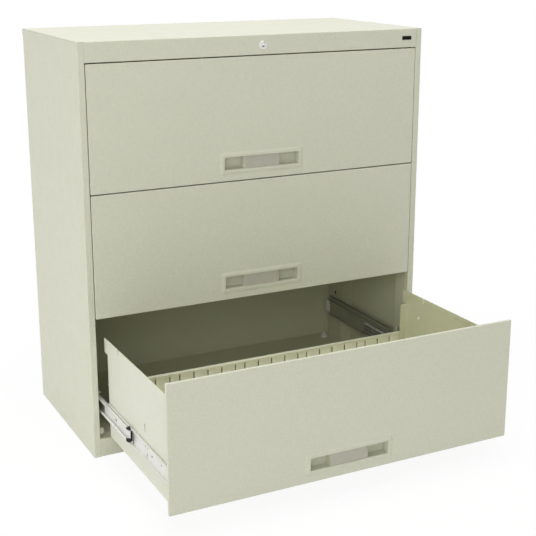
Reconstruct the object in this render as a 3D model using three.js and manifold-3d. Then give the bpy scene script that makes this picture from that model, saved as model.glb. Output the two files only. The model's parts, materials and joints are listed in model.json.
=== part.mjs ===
// Lateral filing cabinet with three drawers, its bottom drawer pulled out to the stop.
// Millimetres. +Z is up, +X is to the right as seen from the front, drawers open towards -Y.
// The origin lies on the floor, at the middle of the cabinet with that drawer out.

import * as THREE from 'three';
import { mergeVertices } from 'three/addons/utils/BufferGeometryUtils.js';
import Module from 'manifold-3d';

const wasm = await Module();
wasm.setup();

// Driving dimensions: case
const CASE_WIDTH = 914;
const CASE_DEPTH = 450;
const CASE_HEIGHT = 1000;
const CASE_FOOT = 0.8;          // lower edge of the case above the floor
const SHEET = 1;                // steel sheet of case and drawers
const BEND = 1.2;               // middle radius of a bend in that sheet
const BEND_STEPS = 3;           // facets of a right-angle bend
const SEAM = 0.3;               // gap between pieces that touch
const STILE = 16.5;             // front edge of a side panel
const STILE_RETURN = 20;
const REAR_FLANGE = 14;
const TOP_RAIL = 47;            // front rail under the top, with the lock in it
const RAIL_RETURN = 18.5;
const RAIL_LIP = 11;
const BASE_RAIL_TOP = 47;
const BOTTOM_PANEL_Z = 36.5;

// Driving dimensions: uprights, glides and ballast
const UPRIGHT_FACE = 442;       // face that the slides are fixed to, from the middle of the case
const UPRIGHT_TOP = 930;
const FRONT_UPRIGHT = { front: 25.5, width: 38, slotWidth: 5, slotHeight: 18, slotOffset: 12 };
const REAR_UPRIGHT = {
  face: 450,
  front: 360,
  width: 76,
  ramp: 45,
  firstHole: 180,
  holePitch: 150,
  holeRadius: 2.5,
};
const GLIDE_RADIUS = 16;
const BALLAST = { width: 780, depth: 120, height: 20 };

// Driving dimensions: drawers, measured from the lower edge and the face of the drawer front
const DRAWERS = ['bottom', 'middle', 'top'];
const BOTTOM_FRONT_Z = 53;
const FRONT_PITCH = 300;
const FRONT_WIDTH = 878;
const FRONT_HEIGHT = 297.5;
const FRONT_DEPTH = 7;
const FRONT_EDGE = 1.2;         // rounding of the folded front edges
const FRONT_LIP = 11;           // inner lip behind the folded edges
const DRAWER_TRAVEL = 438;
const SIDE_FACE = 423;          // outer face of a drawer side, from the middle
const SIDE_FOOT = 10.2;
const SIDE_TOP = 255;
const SIDE_REAR = 413;          // back of the side's rear flange
const SIDE_REAR_FLANGE = 19.6;
const TAB_FOOT = 219;           // the flange stops here and a flat tab runs on
const TAB_REAR = 432;
const HEM = 10;                 // folded-over strip along the top of a side
const PAN_WALL_TOP = 140;
const PAN_FRONT_Y = 31;
const SLIT = { width: 2, height: 20, top: 134, pitch: 38, perGroup: 5, groupPitch: 178, first: -240 };
const SIDE_SLIT = { y: 173, foot: 118.5, height: 20, width: 4 };
const SIDE_NOTCH = { y: 337, depth: 13, width: 4 };

// Driving dimensions: pull in the drawer front
const PULL_Z = 43;              // middle of the pull above the front's lower edge
const POCKET_WIDTH = 203;
const POCKET_HEIGHT = 31;
const POCKET_DEPTH_TOP = 19;
const POCKET_DEPTH_FOOT = 25;
const PULL_WALL = 1.5;
const PULL_FRAME = 6.5;
const PULL_PROUD = 1.3;
const LABEL_WIDTH = 97.4;
const LABEL_DEPTH = 3.1;
const LABEL_SEAT = 3.4;         // face of the block between the pockets, behind the label
const LABEL_BLOCK_WALL = 2;

// Driving dimensions: slides
const SLIDE_Z = 78;             // middle of the slide above the front's lower edge
const RAIL_SHEET = 1.6;
const RAIL_BEND = 1.3;
const RAIL_LENGTH = 390;
const CABINET_CHANNEL = { height: 44.6, lip: 8.3 };
const DRAWER_CHANNEL = { height: 38.5, lip: 6.2 };
// Beam that runs between the two channels; inner, web and outer are measured from the middle of the case
const BEAM = { height: 32, inner: 426.2, web: 428.5, outer: 436.5, holes: [107, 275], holeRadius: 4.5 };
const RAIL_BRACKET = { front: 398, rear: 440, seatFront: 410, height: 28 };
const CABINET_RAIL_Y = 22;
const BEAM_Y = 23;              // with the drawer shut
const DRAWER_RAIL_Y = 18;

// Driving dimensions: lock
const LOCK_X = 3;
const LOCK_Z = 975.2;
const LOCK_BORE = 7.1;
const LOCK_BARREL = 9.2;
const LOCK_LENGTH = 28;
const KEY_SLOT = { width: 5.6, height: 3, drop: 2.6, depth: 10 };
const PIN_RADIUS = 2;
const PIN_PLAY = 0.7;
const CAM_ARM = 12;
const CAM_SWING = THREE.MathUtils.degToRad(90);
const CRANK = { x: 435.3, z: 951, arm: 15, hub: 7, stud: 3 };
const HOOK_Z = 104;             // lower edge of a lock hook above the drawer front's lower edge
const HOOK_HEIGHT = 8;
const HOOK_REACH = 14;

// Places worked out from those
const HALF_WIDTH = CASE_WIDTH / 2;
const CASE_FRONT_Y = (DRAWER_TRAVEL + PULL_PROUD - CASE_DEPTH) / 2;
const LOCK_TRAVEL = 2 * CAM_ARM * Math.sin(CAM_SWING / 2);
const CRANK_HALF_SWING = Math.asin(LOCK_TRAVEL / 2 / CRANK.arm);
const CAM_Y = [LOCK_LENGTH + 2, LOCK_LENGTH + 4.5];
const LOCK_ROD_Y = [33.5, 35.5];
const CRANK_Y = [36.2, 38.2];
const LOCK_BAR_Y = [38.9, 40.9];
const frontZ = (drawer) => BOTTOM_FRONT_Z + DRAWERS.indexOf(drawer) * FRONT_PITCH;

// Solids: joining, cutting and drawing out outlines

function toSolid(geometry) {
  const plain = geometry.clone();
  plain.deleteAttribute('normal');
  plain.deleteAttribute('uv');
  const merged = mergeVertices(plain, 1e-4);
  const corners = merged.index.array;
  const triangles = [];
  for (let i = 0; i < corners.length; i += 3) {
    const [a, b, c] = [corners[i], corners[i + 1], corners[i + 2]];
    if (a !== b && b !== c && c !== a) triangles.push(a, b, c);
  }
  return new wasm.Manifold(new wasm.Mesh({
    numProp: 3,
    vertProperties: new Float32Array(merged.attributes.position.array),
    triVerts: new Uint32Array(triangles),
  }));
}

function toGeometry(solid) {
  const { vertProperties, triVerts } = solid.getMesh();
  const geometry = new THREE.BufferGeometry();
  geometry.setAttribute('position', new THREE.BufferAttribute(new Float32Array(vertProperties), 3));
  geometry.setIndex(new THREE.BufferAttribute(new Uint32Array(triVerts), 1));
  geometry.computeVertexNormals();
  return geometry;
}

function join(first, ...others) {
  return toGeometry(others.reduce((sum, next) => sum.add(toSolid(next)), toSolid(first)));
}

function cut(body, ...tools) {
  return toGeometry(tools.reduce((rest, tool) => rest.subtract(toSolid(tool)), toSolid(body)));
}

const ALONG_X = new THREE.Vector3(1, 0, 0);
const ALONG_Y = new THREE.Vector3(0, 1, 0);
const ALONG_Z = new THREE.Vector3(0, 0, 1);

// An outline is drawn in X and Y and goes up ('plan'), in Y and Z and goes right ('side'),
// or in X and Z and goes from back to front ('front').
function extrude(outline, view, from, to, { bevel = 0, curveSegments = 2 } = {}) {
  const geometry = new THREE.ExtrudeGeometry(outline, {
    depth: to - from - 2 * bevel,
    steps: 1,
    curveSegments,
    bevelEnabled: bevel > 0,
    bevelThickness: bevel,
    bevelSize: bevel,
    bevelOffset: -bevel,
    bevelSegments: 2,
  });
  geometry.translate(0, 0, bevel);
  const turn = new THREE.Matrix4();
  if (view === 'plan') geometry.translate(0, 0, from);
  if (view === 'side') {
    turn.makeBasis(ALONG_Y, ALONG_Z, ALONG_X);
    geometry.applyMatrix4(turn).translate(from, 0, 0);
  }
  if (view === 'front') {
    turn.makeBasis(ALONG_X, ALONG_Z, ALONG_Y.clone().negate());
    geometry.applyMatrix4(turn).translate(0, to, 0);
  }
  return geometry;
}

function block([x0, x1], [y0, y1], [z0, z1]) {
  const size = [Math.abs(x1 - x0), Math.abs(y1 - y0), Math.abs(z1 - z0)];
  return new THREE.BoxGeometry(...size).translate((x0 + x1) / 2, (y0 + y1) / 2, (z0 + z1) / 2);
}

// Round bar along Y, from one depth to another, at a place in X and Z.
function roundBar(radius, [y0, y1], x, z, sides = 16) {
  return new THREE.CylinderGeometry(radius, radius, y1 - y0, sides).translate(x, (y0 + y1) / 2, z);
}

// Round or long hole through a rail's web, drilled along X.
// A long one runs by its length along Y and by its rise along Z.
function railHole(side, y, z, { radius, length = 0, rise = 0 }) {
  const start = Math.atan2(rise, length) - Math.PI / 2;
  const outline = new THREE.Shape();
  outline.absarc(y + length / 2, z + rise / 2, radius, start, start + Math.PI);
  outline.absarc(y - length / 2, z - rise / 2, radius, start + Math.PI, start + 2 * Math.PI);
  const reach = [side * (SIDE_FACE - 5), side * (UPRIGHT_FACE + 5)];
  return extrude(outline, 'side', Math.min(...reach), Math.max(...reach));
}

// Outline of a bent sheet from the line along the middle of its thickness.
function bentSheet(points, thickness = SHEET, radius = BEND) {
  const line = points.map(([a, b]) => new THREE.Vector2(a, b));
  const leftEdge = [];
  const rightEdge = [];
  const put = (point, normal) => {
    leftEdge.push(point.clone().addScaledVector(normal, thickness / 2));
    rightEdge.unshift(point.clone().addScaledVector(normal, -thickness / 2));
  };
  const headings = line.slice(1).map((point, i) => point.clone().sub(line[i]).normalize());
  const normals = headings.map((heading) => new THREE.Vector2(-heading.y, heading.x));
  put(line[0], normals[0]);
  for (let i = 1; i < line.length - 1; i += 1) {
    const turn = Math.atan2(normals[i - 1].cross(normals[i]), normals[i - 1].dot(normals[i]));
    const bow = radius * Math.sign(turn);
    const setback = radius * Math.tan(Math.abs(turn) / 2);
    const start = line[i].clone().addScaledVector(headings[i - 1], -setback);
    const centre = start.clone().addScaledVector(normals[i - 1], bow);
    for (let step = 0; step <= BEND_STEPS; step += 1) {
      const normal = normals[i - 1].clone().rotateAround(new THREE.Vector2(), (turn * step) / BEND_STEPS);
      put(centre.clone().addScaledVector(normal, -bow), normal);
    }
  }
  put(line[line.length - 1], normals[normals.length - 1]);
  return new THREE.Shape([...leftEdge, ...rightEdge]);
}

function roundedRectangle(width, height, radius, x = 0, z = 0) {
  const [w, h] = [width / 2 - radius, height / 2 - radius];
  const outline = new THREE.Shape();
  outline.absarc(x + w, z + h, radius, 0, Math.PI / 2);
  outline.absarc(x - w, z + h, radius, Math.PI / 2, Math.PI);
  outline.absarc(x - w, z - h, radius, Math.PI, 1.5 * Math.PI);
  outline.absarc(x + w, z - h, radius, 1.5 * Math.PI, 2 * Math.PI);
  return outline;
}

// Flat lever: two round ends joined by their tangents.
function lever([x0, z0], radius0, [x1, z1], radius1) {
  const heading = Math.atan2(z1 - z0, x1 - x0);
  const lean = Math.acos((radius0 - radius1) / Math.hypot(x1 - x0, z1 - z0));
  const outline = new THREE.Shape();
  outline.absarc(x0, z0, radius0, heading + lean, heading - lean + 2 * Math.PI);
  outline.absarc(x1, z1, radius1, heading - lean, heading + lean);
  return outline;
}

// Case

function sidePanel(side) {
  const wall = HALF_WIDTH - SHEET / 2;
  const stileEdge = HALF_WIDTH - STILE + SHEET / 2;
  const rear = CASE_DEPTH - 1.5 * SHEET - SEAM;
  const outline = bentSheet([
    [side * stileEdge, STILE_RETURN],
    [side * stileEdge, SHEET / 2],
    [side * wall, SHEET / 2],
    [side * wall, rear],
    [side * (wall - REAR_FLANGE), rear],
  ]);
  return extrude(outline, 'plan', CASE_FOOT, CASE_HEIGHT - SHEET - SEAM);
}

function topPanel() {
  const skin = CASE_HEIGHT - SHEET / 2;
  const railFoot = CASE_HEIGHT - TOP_RAIL + SHEET / 2;
  const rear = CASE_DEPTH - SHEET / 2;
  const outline = bentSheet([
    [RAIL_RETURN, railFoot + RAIL_LIP],
    [RAIL_RETURN, railFoot],
    [SHEET / 2, railFoot],
    [SHEET / 2, skin],
    [rear, skin],
    [rear, skin - REAR_FLANGE],
  ]);
  const underSkin = CASE_HEIGHT - SHEET;
  const flangeFace = HALF_WIDTH - SHEET - SEAM;
  const flanges = [-1, 1].map((side) => block(
    [side * (flangeFace - SHEET), side * flangeFace],
    [2 * STILE_RETURN, CASE_DEPTH - 2 * REAR_FLANGE],
    [underSkin - 2 * REAR_FLANGE, underSkin + SHEET / 2],
  ));
  const notches = [-1, 1].map((side) => block(
    [side * (HALF_WIDTH - STILE - SEAM), side * (HALF_WIDTH + 1)],
    [-1, 1.5 * STILE_RETURN],
    [CASE_HEIGHT - TOP_RAIL - 1, underSkin],
  ));
  const lockHole = roundBar(LOCK_BARREL + SEAM, [-1, SHEET + 1], LOCK_X, LOCK_Z, 24);
  const sheet = join(extrude(outline, 'side', -HALF_WIDTH, HALF_WIDTH), ...flanges);
  return cut(sheet, ...notches, lockHole);
}

function backPanel() {
  const rear = CASE_DEPTH - SHEET / 2;
  const foot = 2 * CASE_FOOT + 1.5;
  const outline = bentSheet([
    [rear - REAR_FLANGE, foot],
    [rear, foot],
    [rear, CASE_HEIGHT - SHEET / 2 - REAR_FLANGE - SEAM],
  ]);
  const width = HALF_WIDTH - SHEET;
  const notches = [-1, 1].map((side) => block(
    [side * (HALF_WIDTH - 1.5 * REAR_FLANGE), side * HALF_WIDTH],
    [rear - 2 * REAR_FLANGE, CASE_DEPTH - SHEET],
    [0, foot + 3 * BEND],
  ));
  return cut(extrude(outline, 'side', -width, width), ...notches);
}

function bottomPanel() {
  const [front, rear] = [34, CASE_DEPTH - 4];
  const width = HALF_WIDTH - 2.5 * SHEET;
  const flangeFoot = 20;
  const outline = bentSheet([
    [front, BASE_RAIL_TOP - 3],
    [front, BOTTOM_PANEL_Z],
    [rear, BOTTOM_PANEL_Z],
    [rear, flangeFoot],
  ]);
  const flanges = [-1, 1].map((side) => block(
    [side * (width - SHEET), side * width],
    [front + 10, rear - 6],
    [flangeFoot, BOTTOM_PANEL_Z],
  ));
  return join(extrude(outline, 'side', -width, width), ...flanges);
}

function baseRail() {
  const width = HALF_WIDTH - STILE - SEAM;
  const top = BASE_RAIL_TOP - SHEET / 2;
  const foot = CASE_FOOT + SHEET / 2;
  const outline = bentSheet([
    [STILE, foot],
    [SHEET / 2, foot],
    [SHEET / 2, top],
    [30.5, top],
    [30.5, top - 9.5],
  ]);
  return extrude(outline, 'side', -width, width);
}

// Hat section against the side panel, its face slotted behind each slide.
function frontUpright(side, hookSlots) {
  const { front, width, slotWidth, slotHeight, slotOffset } = FRONT_UPRIGHT;
  const face = UPRIGHT_FACE + SHEET / 2;
  const wall = HALF_WIDTH - SHEET - SEAM - SHEET / 2;
  const rear = front + width;
  const outline = bentSheet([
    [side * wall, front - 10],
    [side * wall, front],
    [side * face, front],
    [side * face, rear],
    [side * wall, rear],
    [side * wall, rear + 10],
  ]);
  const slotY = front + 0.7 * width;
  const through = [side * (UPRIGHT_FACE - 1), side * (UPRIGHT_FACE + 2 * SHEET)];
  const slots = DRAWERS.flatMap((drawer) => [-slotOffset, slotOffset].map((offset) => {
    const z = frontZ(drawer) + SLIDE_Z + offset;
    return block(
      through,
      [slotY - slotWidth / 2, slotY + slotWidth / 2],
      [z - slotHeight / 2, z + slotHeight / 2],
    );
  }));
  return cut(extrude(outline, 'plan', BASE_RAIL_TOP + SEAM, UPRIGHT_TOP), ...slots, ...hookSlots);
}

// Shallow channel on the side panel, sloped in front, with long holes up its face.
function rearUpright(side) {
  const { face, front, width, ramp, firstHole, holePitch, holeRadius } = REAR_UPRIGHT;
  const wall = HALF_WIDTH - SHEET - SEAM;
  const rear = front + width;
  const outline = bentSheet([
    [side * (wall - SHEET / 2), front - ramp],
    [side * (face + SHEET / 2), front],
    [side * (face + SHEET / 2), rear],
    [side * wall, rear],
  ]);
  const through = [side * (face - 1), side * (face + 2 * SHEET)];
  const holes = [];
  for (let z = firstHole; z < UPRIGHT_TOP - holePitch / 4; z += holePitch) {
    const ends = [z - holeRadius, z + holeRadius].map((end) => [(front + rear) / 2, end]);
    const hole = lever(ends[0], holeRadius, ends[1], holeRadius);
    holes.push(extrude(hole, 'side', Math.min(...through), Math.max(...through)));
  }
  return cut(extrude(outline, 'plan', BOTTOM_PANEL_Z + SHEET / 2 + SEAM, UPRIGHT_TOP), ...holes);
}

function hookSlot(drawerFoot) {
  const play = 1.5;
  return block(
    [UPRIGHT_FACE - 1, UPRIGHT_FACE + 2 * SHEET],
    [LOCK_BAR_Y[0] - play, LOCK_BAR_Y[1] + play],
    [drawerFoot + HOOK_Z - play, drawerFoot + HOOK_Z + HOOK_HEIGHT + LOCK_TRAVEL + play],
  );
}

// Foot disc with a rounded edge on a threaded stem that ends under the bottom panel.
function glide() {
  const stem = 5;
  const profile = [
    [0, 0],
    [GLIDE_RADIUS - 2, 0],
    [GLIDE_RADIUS, 2],
    [GLIDE_RADIUS, 5],
    [GLIDE_RADIUS - 5, 8],
    [stem + 4, 8],
    [stem + 4, 12],
    [stem, 12],
    [stem, BOTTOM_PANEL_Z - SHEET / 2 - SEAM],
    [0, BOTTOM_PANEL_Z - SHEET / 2 - SEAM],
  ].map(([r, z]) => new THREE.Vector2(r, z));
  return toGeometry(toSolid(new THREE.LatheGeometry(profile, 16).rotateX(Math.PI / 2)));
}

// Flat weight fixed under the rear of the bottom panel.
function ballast() {
  const top = BOTTOM_PANEL_Z - SHEET / 2 - SEAM;
  const middle = CASE_DEPTH - 12 - BALLAST.depth / 2;
  const outline = roundedRectangle(BALLAST.width, BALLAST.depth, 6, 0, middle);
  return extrude(outline, 'plan', top - BALLAST.height, top, { bevel: 1.5 });
}

// Slides: two channels that face each other, and a beam that runs between their lips

function channelRail(side, { height, lip: lipWidth }, web, lipWay, [y0, y1], holes) {
  const edge = (height - RAIL_SHEET) / 2;
  const lip = web + lipWay * (lipWidth - RAIL_SHEET / 2);
  const outline = bentSheet([
    [side * lip, SLIDE_Z + edge],
    [side * web, SLIDE_Z + edge],
    [side * web, SLIDE_Z - edge],
    [side * lip, SLIDE_Z - edge],
  ], RAIL_SHEET, RAIL_BEND);
  const drills = holes.map(({ y, z = 0, ...form }) => railHole(side, y, SLIDE_Z + z, form));
  return cut(extrude(outline, 'front', y0, y1), ...drills);
}

function cabinetRail(side) {
  const web = UPRIGHT_FACE - SEAM - RAIL_SHEET / 2;
  const holes = [{ y: 95, radius: 3.5, length: 8 }, { y: 330, radius: 3.5, length: 8 }];
  const ends = [CABINET_RAIL_Y, CABINET_RAIL_Y + RAIL_LENGTH];
  const rail = channelRail(side, CABINET_CHANNEL, web, -1, ends, holes);
  return join(rail, railBracket(side, web));
}

// Strap at the back of a cabinet rail, turned out and forward again to seat on the rear upright.
function railBracket(side, web) {
  const { front, rear, seatFront, height } = RAIL_BRACKET;
  const seat = REAR_UPRIGHT.face - SEAM - RAIL_SHEET / 2;
  const outline = bentSheet([
    [side * web, front],
    [side * web, rear],
    [side * seat, rear],
    [side * seat, seatFront],
  ], RAIL_SHEET, RAIL_BEND);
  return extrude(outline, 'plan', SLIDE_Z - height / 2, SLIDE_Z + height / 2);
}

function drawerRail(side) {
  const web = SIDE_FACE + SEAM + RAIL_SHEET / 2;
  const holes = [
    { y: 73, z: 4.5, radius: 2.6 },
    { y: 129, z: 0.7, radius: 2.2, length: 5 },
    { y: 154, z: 8.4, radius: 2.2 },
    { y: 156, z: -8, radius: 2.4, rise: 6 },
    { y: 168, z: 8.4, radius: 2.6 },
    { y: 340, radius: 3, length: 8 },
  ];
  const ends = [DRAWER_RAIL_Y, DRAWER_RAIL_Y + RAIL_LENGTH];
  return channelRail(side, DRAWER_CHANNEL, web, 1, ends, holes);
}

// Beam with a flange above and below: wide ones towards the case, narrow ones towards the drawer.
function intermediateRail(side) {
  const [top, under, t] = [BEAM.height / 2, BEAM.height / 2 - RAIL_SHEET, RAIL_SHEET / 2];
  const upperHalf = [
    [BEAM.web + t, under],
    [BEAM.outer, under],
    [BEAM.outer, top],
    [BEAM.inner, top],
    [BEAM.inner, under],
    [BEAM.web - t, under],
  ];
  const lowerHalf = upperHalf.map(([x, z]) => [x, -z]).reverse();
  const corners = [...upperHalf, ...lowerHalf].map(([x, z]) => new THREE.Vector2(side * x, SLIDE_Z + z));
  const beam = extrude(new THREE.Shape(corners), 'front', BEAM_Y, BEAM_Y + RAIL_LENGTH);
  const holes = BEAM.holes.map((y) => railHole(side, BEAM_Y + y, SLIDE_Z, { radius: BEAM.holeRadius }));
  return cut(beam, ...holes);
}

// Drawers

// Folded pan: rounded edges, open behind inside its lip, with the hole for the pull.
function drawerFront() {
  const middle = FRONT_HEIGHT / 2;
  const outline = roundedRectangle(FRONT_WIDTH, FRONT_HEIGHT, 2 * FRONT_EDGE, 0, middle);
  const pan = extrude(outline, 'front', 0, FRONT_DEPTH, { bevel: FRONT_EDGE });
  const [w, h] = [FRONT_WIDTH / 2 - SHEET, FRONT_HEIGHT - SHEET];
  const hollow = block([-w, w], [SHEET, FRONT_DEPTH - SHEET], [SHEET, h]);
  const mouth = block(
    [-w + FRONT_LIP, w - FRONT_LIP],
    [SHEET, FRONT_DEPTH + 1],
    [SHEET + FRONT_LIP, h - FRONT_LIP],
  );
  const [holeW, holeH] = [POCKET_WIDTH / 2 + PULL_WALL + SEAM, POCKET_HEIGHT / 2 + PULL_WALL + SEAM];
  const pullHole = block([-holeW, holeW], [-1, FRONT_DEPTH + 1], [PULL_Z - holeH, PULL_Z + holeH]);
  return cut(pan, hollow, mouth, pullHole);
}

// Section of the finger pockets: a back that leans, deeper at the foot, with rounded corners.
function pocketSection(grow, mouth) {
  const top = new THREE.Vector2(POCKET_DEPTH_TOP + grow, PULL_Z + POCKET_HEIGHT / 2 + grow);
  const foot = new THREE.Vector2(POCKET_DEPTH_FOOT + grow, PULL_Z - POCKET_HEIGHT / 2 - grow);
  const round = 4 + grow;
  const lean = top.clone().sub(foot).normalize().multiplyScalar(round);
  const outline = new THREE.Shape();
  outline.moveTo(mouth, foot.y);
  outline.lineTo(foot.x - round, foot.y);
  outline.quadraticCurveTo(foot.x, foot.y, foot.x + lean.x, foot.y + lean.y);
  outline.lineTo(top.x - lean.x, top.y - lean.y);
  outline.quadraticCurveTo(top.x, top.y, top.x - round, top.y);
  outline.lineTo(mouth, top.y);
  return outline;
}

// Moulded frame with a finger pocket on each side of a hollow block, which the label lies on.
function pull() {
  const half = POCKET_WIDTH / 2;
  const frame = extrude(
    roundedRectangle(POCKET_WIDTH + 2 * PULL_FRAME, POCKET_HEIGHT + 2 * PULL_FRAME, 3, 0, PULL_Z),
    'front',
    -PULL_PROUD,
    -SEAM,
    { bevel: 0.4 },
  );
  const smooth = { curveSegments: 6 };
  const outer = pocketSection(PULL_WALL, -PULL_PROUD / 2);
  const shell = extrude(outer, 'side', -half - PULL_WALL, half + PULL_WALL, smooth);
  const inner = pocketSection(0, -2 * PULL_PROUD);
  const blockHalf = LABEL_WIDTH / 2;
  const pocketEnds = [[-half, -blockHalf], [blockHalf, half]];
  const pockets = pocketEnds.map((ends) => extrude(inner, 'side', ...ends, smooth));
  const labelSeat = block(
    [-blockHalf, blockHalf],
    [-2 * PULL_PROUD, LABEL_SEAT],
    [PULL_Z - POCKET_HEIGHT / 2, PULL_Z + POCKET_HEIGHT / 2],
  );
  const coreHalf = POCKET_HEIGHT / 2 - SEAM;
  const core = block(
    [LABEL_BLOCK_WALL - blockHalf, blockHalf - LABEL_BLOCK_WALL],
    [LABEL_SEAT + LABEL_BLOCK_WALL, POCKET_DEPTH_FOOT + 2 * PULL_WALL],
    [PULL_Z - coreHalf, PULL_Z + coreHalf],
  );
  return cut(join(frame, shell), ...pockets, labelSeat, core);
}

// Clear cover with two short legs, held between the upper and lower wall of the pull.
function labelHolder() {
  const thickness = 1.6;
  const leg = (LABEL_WIDTH - thickness) / 2;
  const face = 0.5 + thickness / 2;
  const outline = bentSheet([
    [-leg, LABEL_DEPTH],
    [-leg, face],
    [leg, face],
    [leg, LABEL_DEPTH],
  ], thickness, 1.2);
  const reach = POCKET_HEIGHT / 2 - SEAM;
  return extrude(outline, 'plan', PULL_Z - reach, PULL_Z + reach);
}

function drawerSide(side) {
  const wall = SIDE_FACE - SHEET / 2;
  const front = FRONT_DEPTH + SEAM + SHEET / 2;
  const rear = SIDE_REAR - SHEET / 2;
  const frontFlange = [[side * (wall - 14), front], [side * wall, front]];
  const body = extrude(
    bentSheet([...frontFlange, [side * wall, rear], [side * (wall - SIDE_REAR_FLANGE), rear]]),
    'plan',
    SIDE_FOOT,
    TAB_FOOT,
  );
  const upperOutline = bentSheet([...frontFlange, [side * wall, TAB_REAR]]);
  const upper = extrude(upperOutline, 'plan', TAB_FOOT - 0.5, SIDE_TOP);
  const ledge = block(
    [side * (wall - 12), side * wall],
    [front + 2, rear - 2],
    [SIDE_FOOT, SIDE_FOOT + SHEET],
  );
  const hem = block(
    [side * (wall - 1.5 * SHEET), side * wall],
    [front + 6, rear],
    [SIDE_TOP - HEM, SIDE_TOP],
  );
  const through = [side * (SIDE_FACE - 4), side * (SIDE_FACE + 1)];
  const slit = block(
    through,
    [SIDE_SLIT.y - SIDE_SLIT.width / 2, SIDE_SLIT.y + SIDE_SLIT.width / 2],
    [SIDE_SLIT.foot, SIDE_SLIT.foot + SIDE_SLIT.height],
  );
  const notch = block(
    through,
    [SIDE_NOTCH.y - SIDE_NOTCH.width / 2, SIDE_NOTCH.y + SIDE_NOTCH.width / 2],
    [SIDE_TOP - SIDE_NOTCH.depth, SIDE_TOP + 1],
  );
  const panRelief = block(
    [side * (SIDE_FACE - SHEET), side * (SIDE_FACE - 2 * SIDE_REAR_FLANGE)],
    [rear - 1.8, SIDE_REAR + 1],
    [SIDE_FOOT - 1, SIDE_FOOT + 6],
  );
  return cut(join(body, upper, ledge, hem), slit, notch, panRelief);
}

// Tab on the right side that the lock hook stands in front of.
function withCatch(sideGeometry) {
  const catchY = LOCK_BAR_Y[1] + 1.7;
  const catchZ = HOOK_Z + HOOK_HEIGHT + 2;
  const tab = block(
    [SIDE_FACE - SHEET / 2, SIDE_FACE + HOOK_REACH],
    [catchY, catchY + 1.5],
    [catchZ, catchZ + LOCK_TRAVEL],
  );
  return join(sideGeometry, tab);
}

// Floor of the drawer with its upturned walls, slit in groups for dividers.
function drawerPan() {
  const width = SIDE_FACE - SHEET - SEAM;
  const floor = SIDE_FOOT + SHEET + SEAM + SHEET / 2;
  const rear = SIDE_REAR + SEAM + SHEET / 2;
  const outline = bentSheet([
    [PAN_FRONT_Y, PAN_WALL_TOP],
    [PAN_FRONT_Y, floor],
    [rear, floor],
    [rear, PAN_WALL_TOP],
    [rear + 8, PAN_WALL_TOP],
  ]);
  const slits = [];
  for (let group = -1; group <= 3; group += 1) {
    for (let i = 0; i < SLIT.perGroup; i += 1) {
      const x = SLIT.first + group * SLIT.groupPitch + i * SLIT.pitch;
      if (Math.abs(x) < width - 2 * SIDE_REAR_FLANGE) {
        slits.push(block(
          [x - SLIT.width / 2, x + SLIT.width / 2],
          [rear - 3, rear + 3],
          [SLIT.top - SLIT.height, SLIT.top],
        ));
      }
    }
  }
  return cut(extrude(outline, 'side', -width, width), ...slits);
}

// Lock: the plug's cam pulls a rod, whose crank lifts the bar with the hooks

const camPin = [LOCK_X + LOCK_TRAVEL / 2, LOCK_Z - CAM_ARM * Math.cos(CAM_SWING / 2)];
const crankRise = CRANK.arm * Math.cos(CRANK_HALF_SWING);
const rodPin = [CRANK.x + LOCK_TRAVEL / 2, CRANK.z + crankRise];
const barPin = [CRANK.x + crankRise, CRANK.z - LOCK_TRAVEL / 2];

function lockHousing() {
  const profile = [
    [LOCK_BORE, -1.6],
    [LOCK_BARREL + 0.4, -1.6],
    [LOCK_BARREL + 1.2, -0.9],
    [LOCK_BARREL + 1.2, -SEAM],
    [LOCK_BARREL, -SEAM],
    [LOCK_BARREL, SHEET + SEAM],
    [LOCK_BARREL + 3.8, SHEET + SEAM],
    [LOCK_BARREL + 3.8, 5],
    [LOCK_BARREL, 5],
    [LOCK_BARREL, LOCK_LENGTH],
    [LOCK_BORE, LOCK_LENGTH],
    [LOCK_BORE, -1.6],
  ].map(([r, y]) => new THREE.Vector2(r, y));
  return toGeometry(toSolid(new THREE.LatheGeometry(profile, 24).translate(LOCK_X, 0, LOCK_Z)));
}

function lockPlug() {
  const radius = LOCK_BORE - SEAM;
  const profile = [
    [0, -1.2],
    [radius - 0.6, -1.2],
    [radius, -0.6],
    [radius, CAM_Y[0] - SEAM],
    [0, CAM_Y[0] - SEAM],
  ].map(([r, y]) => new THREE.Vector2(r, y));
  const plug = new THREE.LatheGeometry(profile, 24).translate(LOCK_X, 0, LOCK_Z);
  const slotZ = LOCK_Z - KEY_SLOT.drop;
  const keySlot = block(
    [LOCK_X - KEY_SLOT.width / 2, LOCK_X + KEY_SLOT.width / 2],
    [-2, KEY_SLOT.depth],
    [slotZ - KEY_SLOT.height / 2, slotZ + KEY_SLOT.height / 2],
  );
  return cut(plug, keySlot);
}

function lockCam() {
  const arm = extrude(lever([LOCK_X, LOCK_Z], 7, camPin, 4), 'front', ...CAM_Y);
  return join(arm, roundBar(PIN_RADIUS, [CAM_Y[1] - 0.5, LOCK_ROD_Y[1] + 1], ...camPin, 12));
}

// Slot for a pin that swings in an arc while its rod or bar runs straight.
function pinSlot([x, z], [riseX, riseZ], [y0, y1]) {
  const play = PIN_RADIUS + PIN_PLAY;
  return block(
    [Math.min(x, x + riseX) - play, Math.max(x, x + riseX) + play],
    [y0 - 1, y1 + 1],
    [Math.min(z, z + riseZ) - play, Math.max(z, z + riseZ) + play],
  );
}

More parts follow.
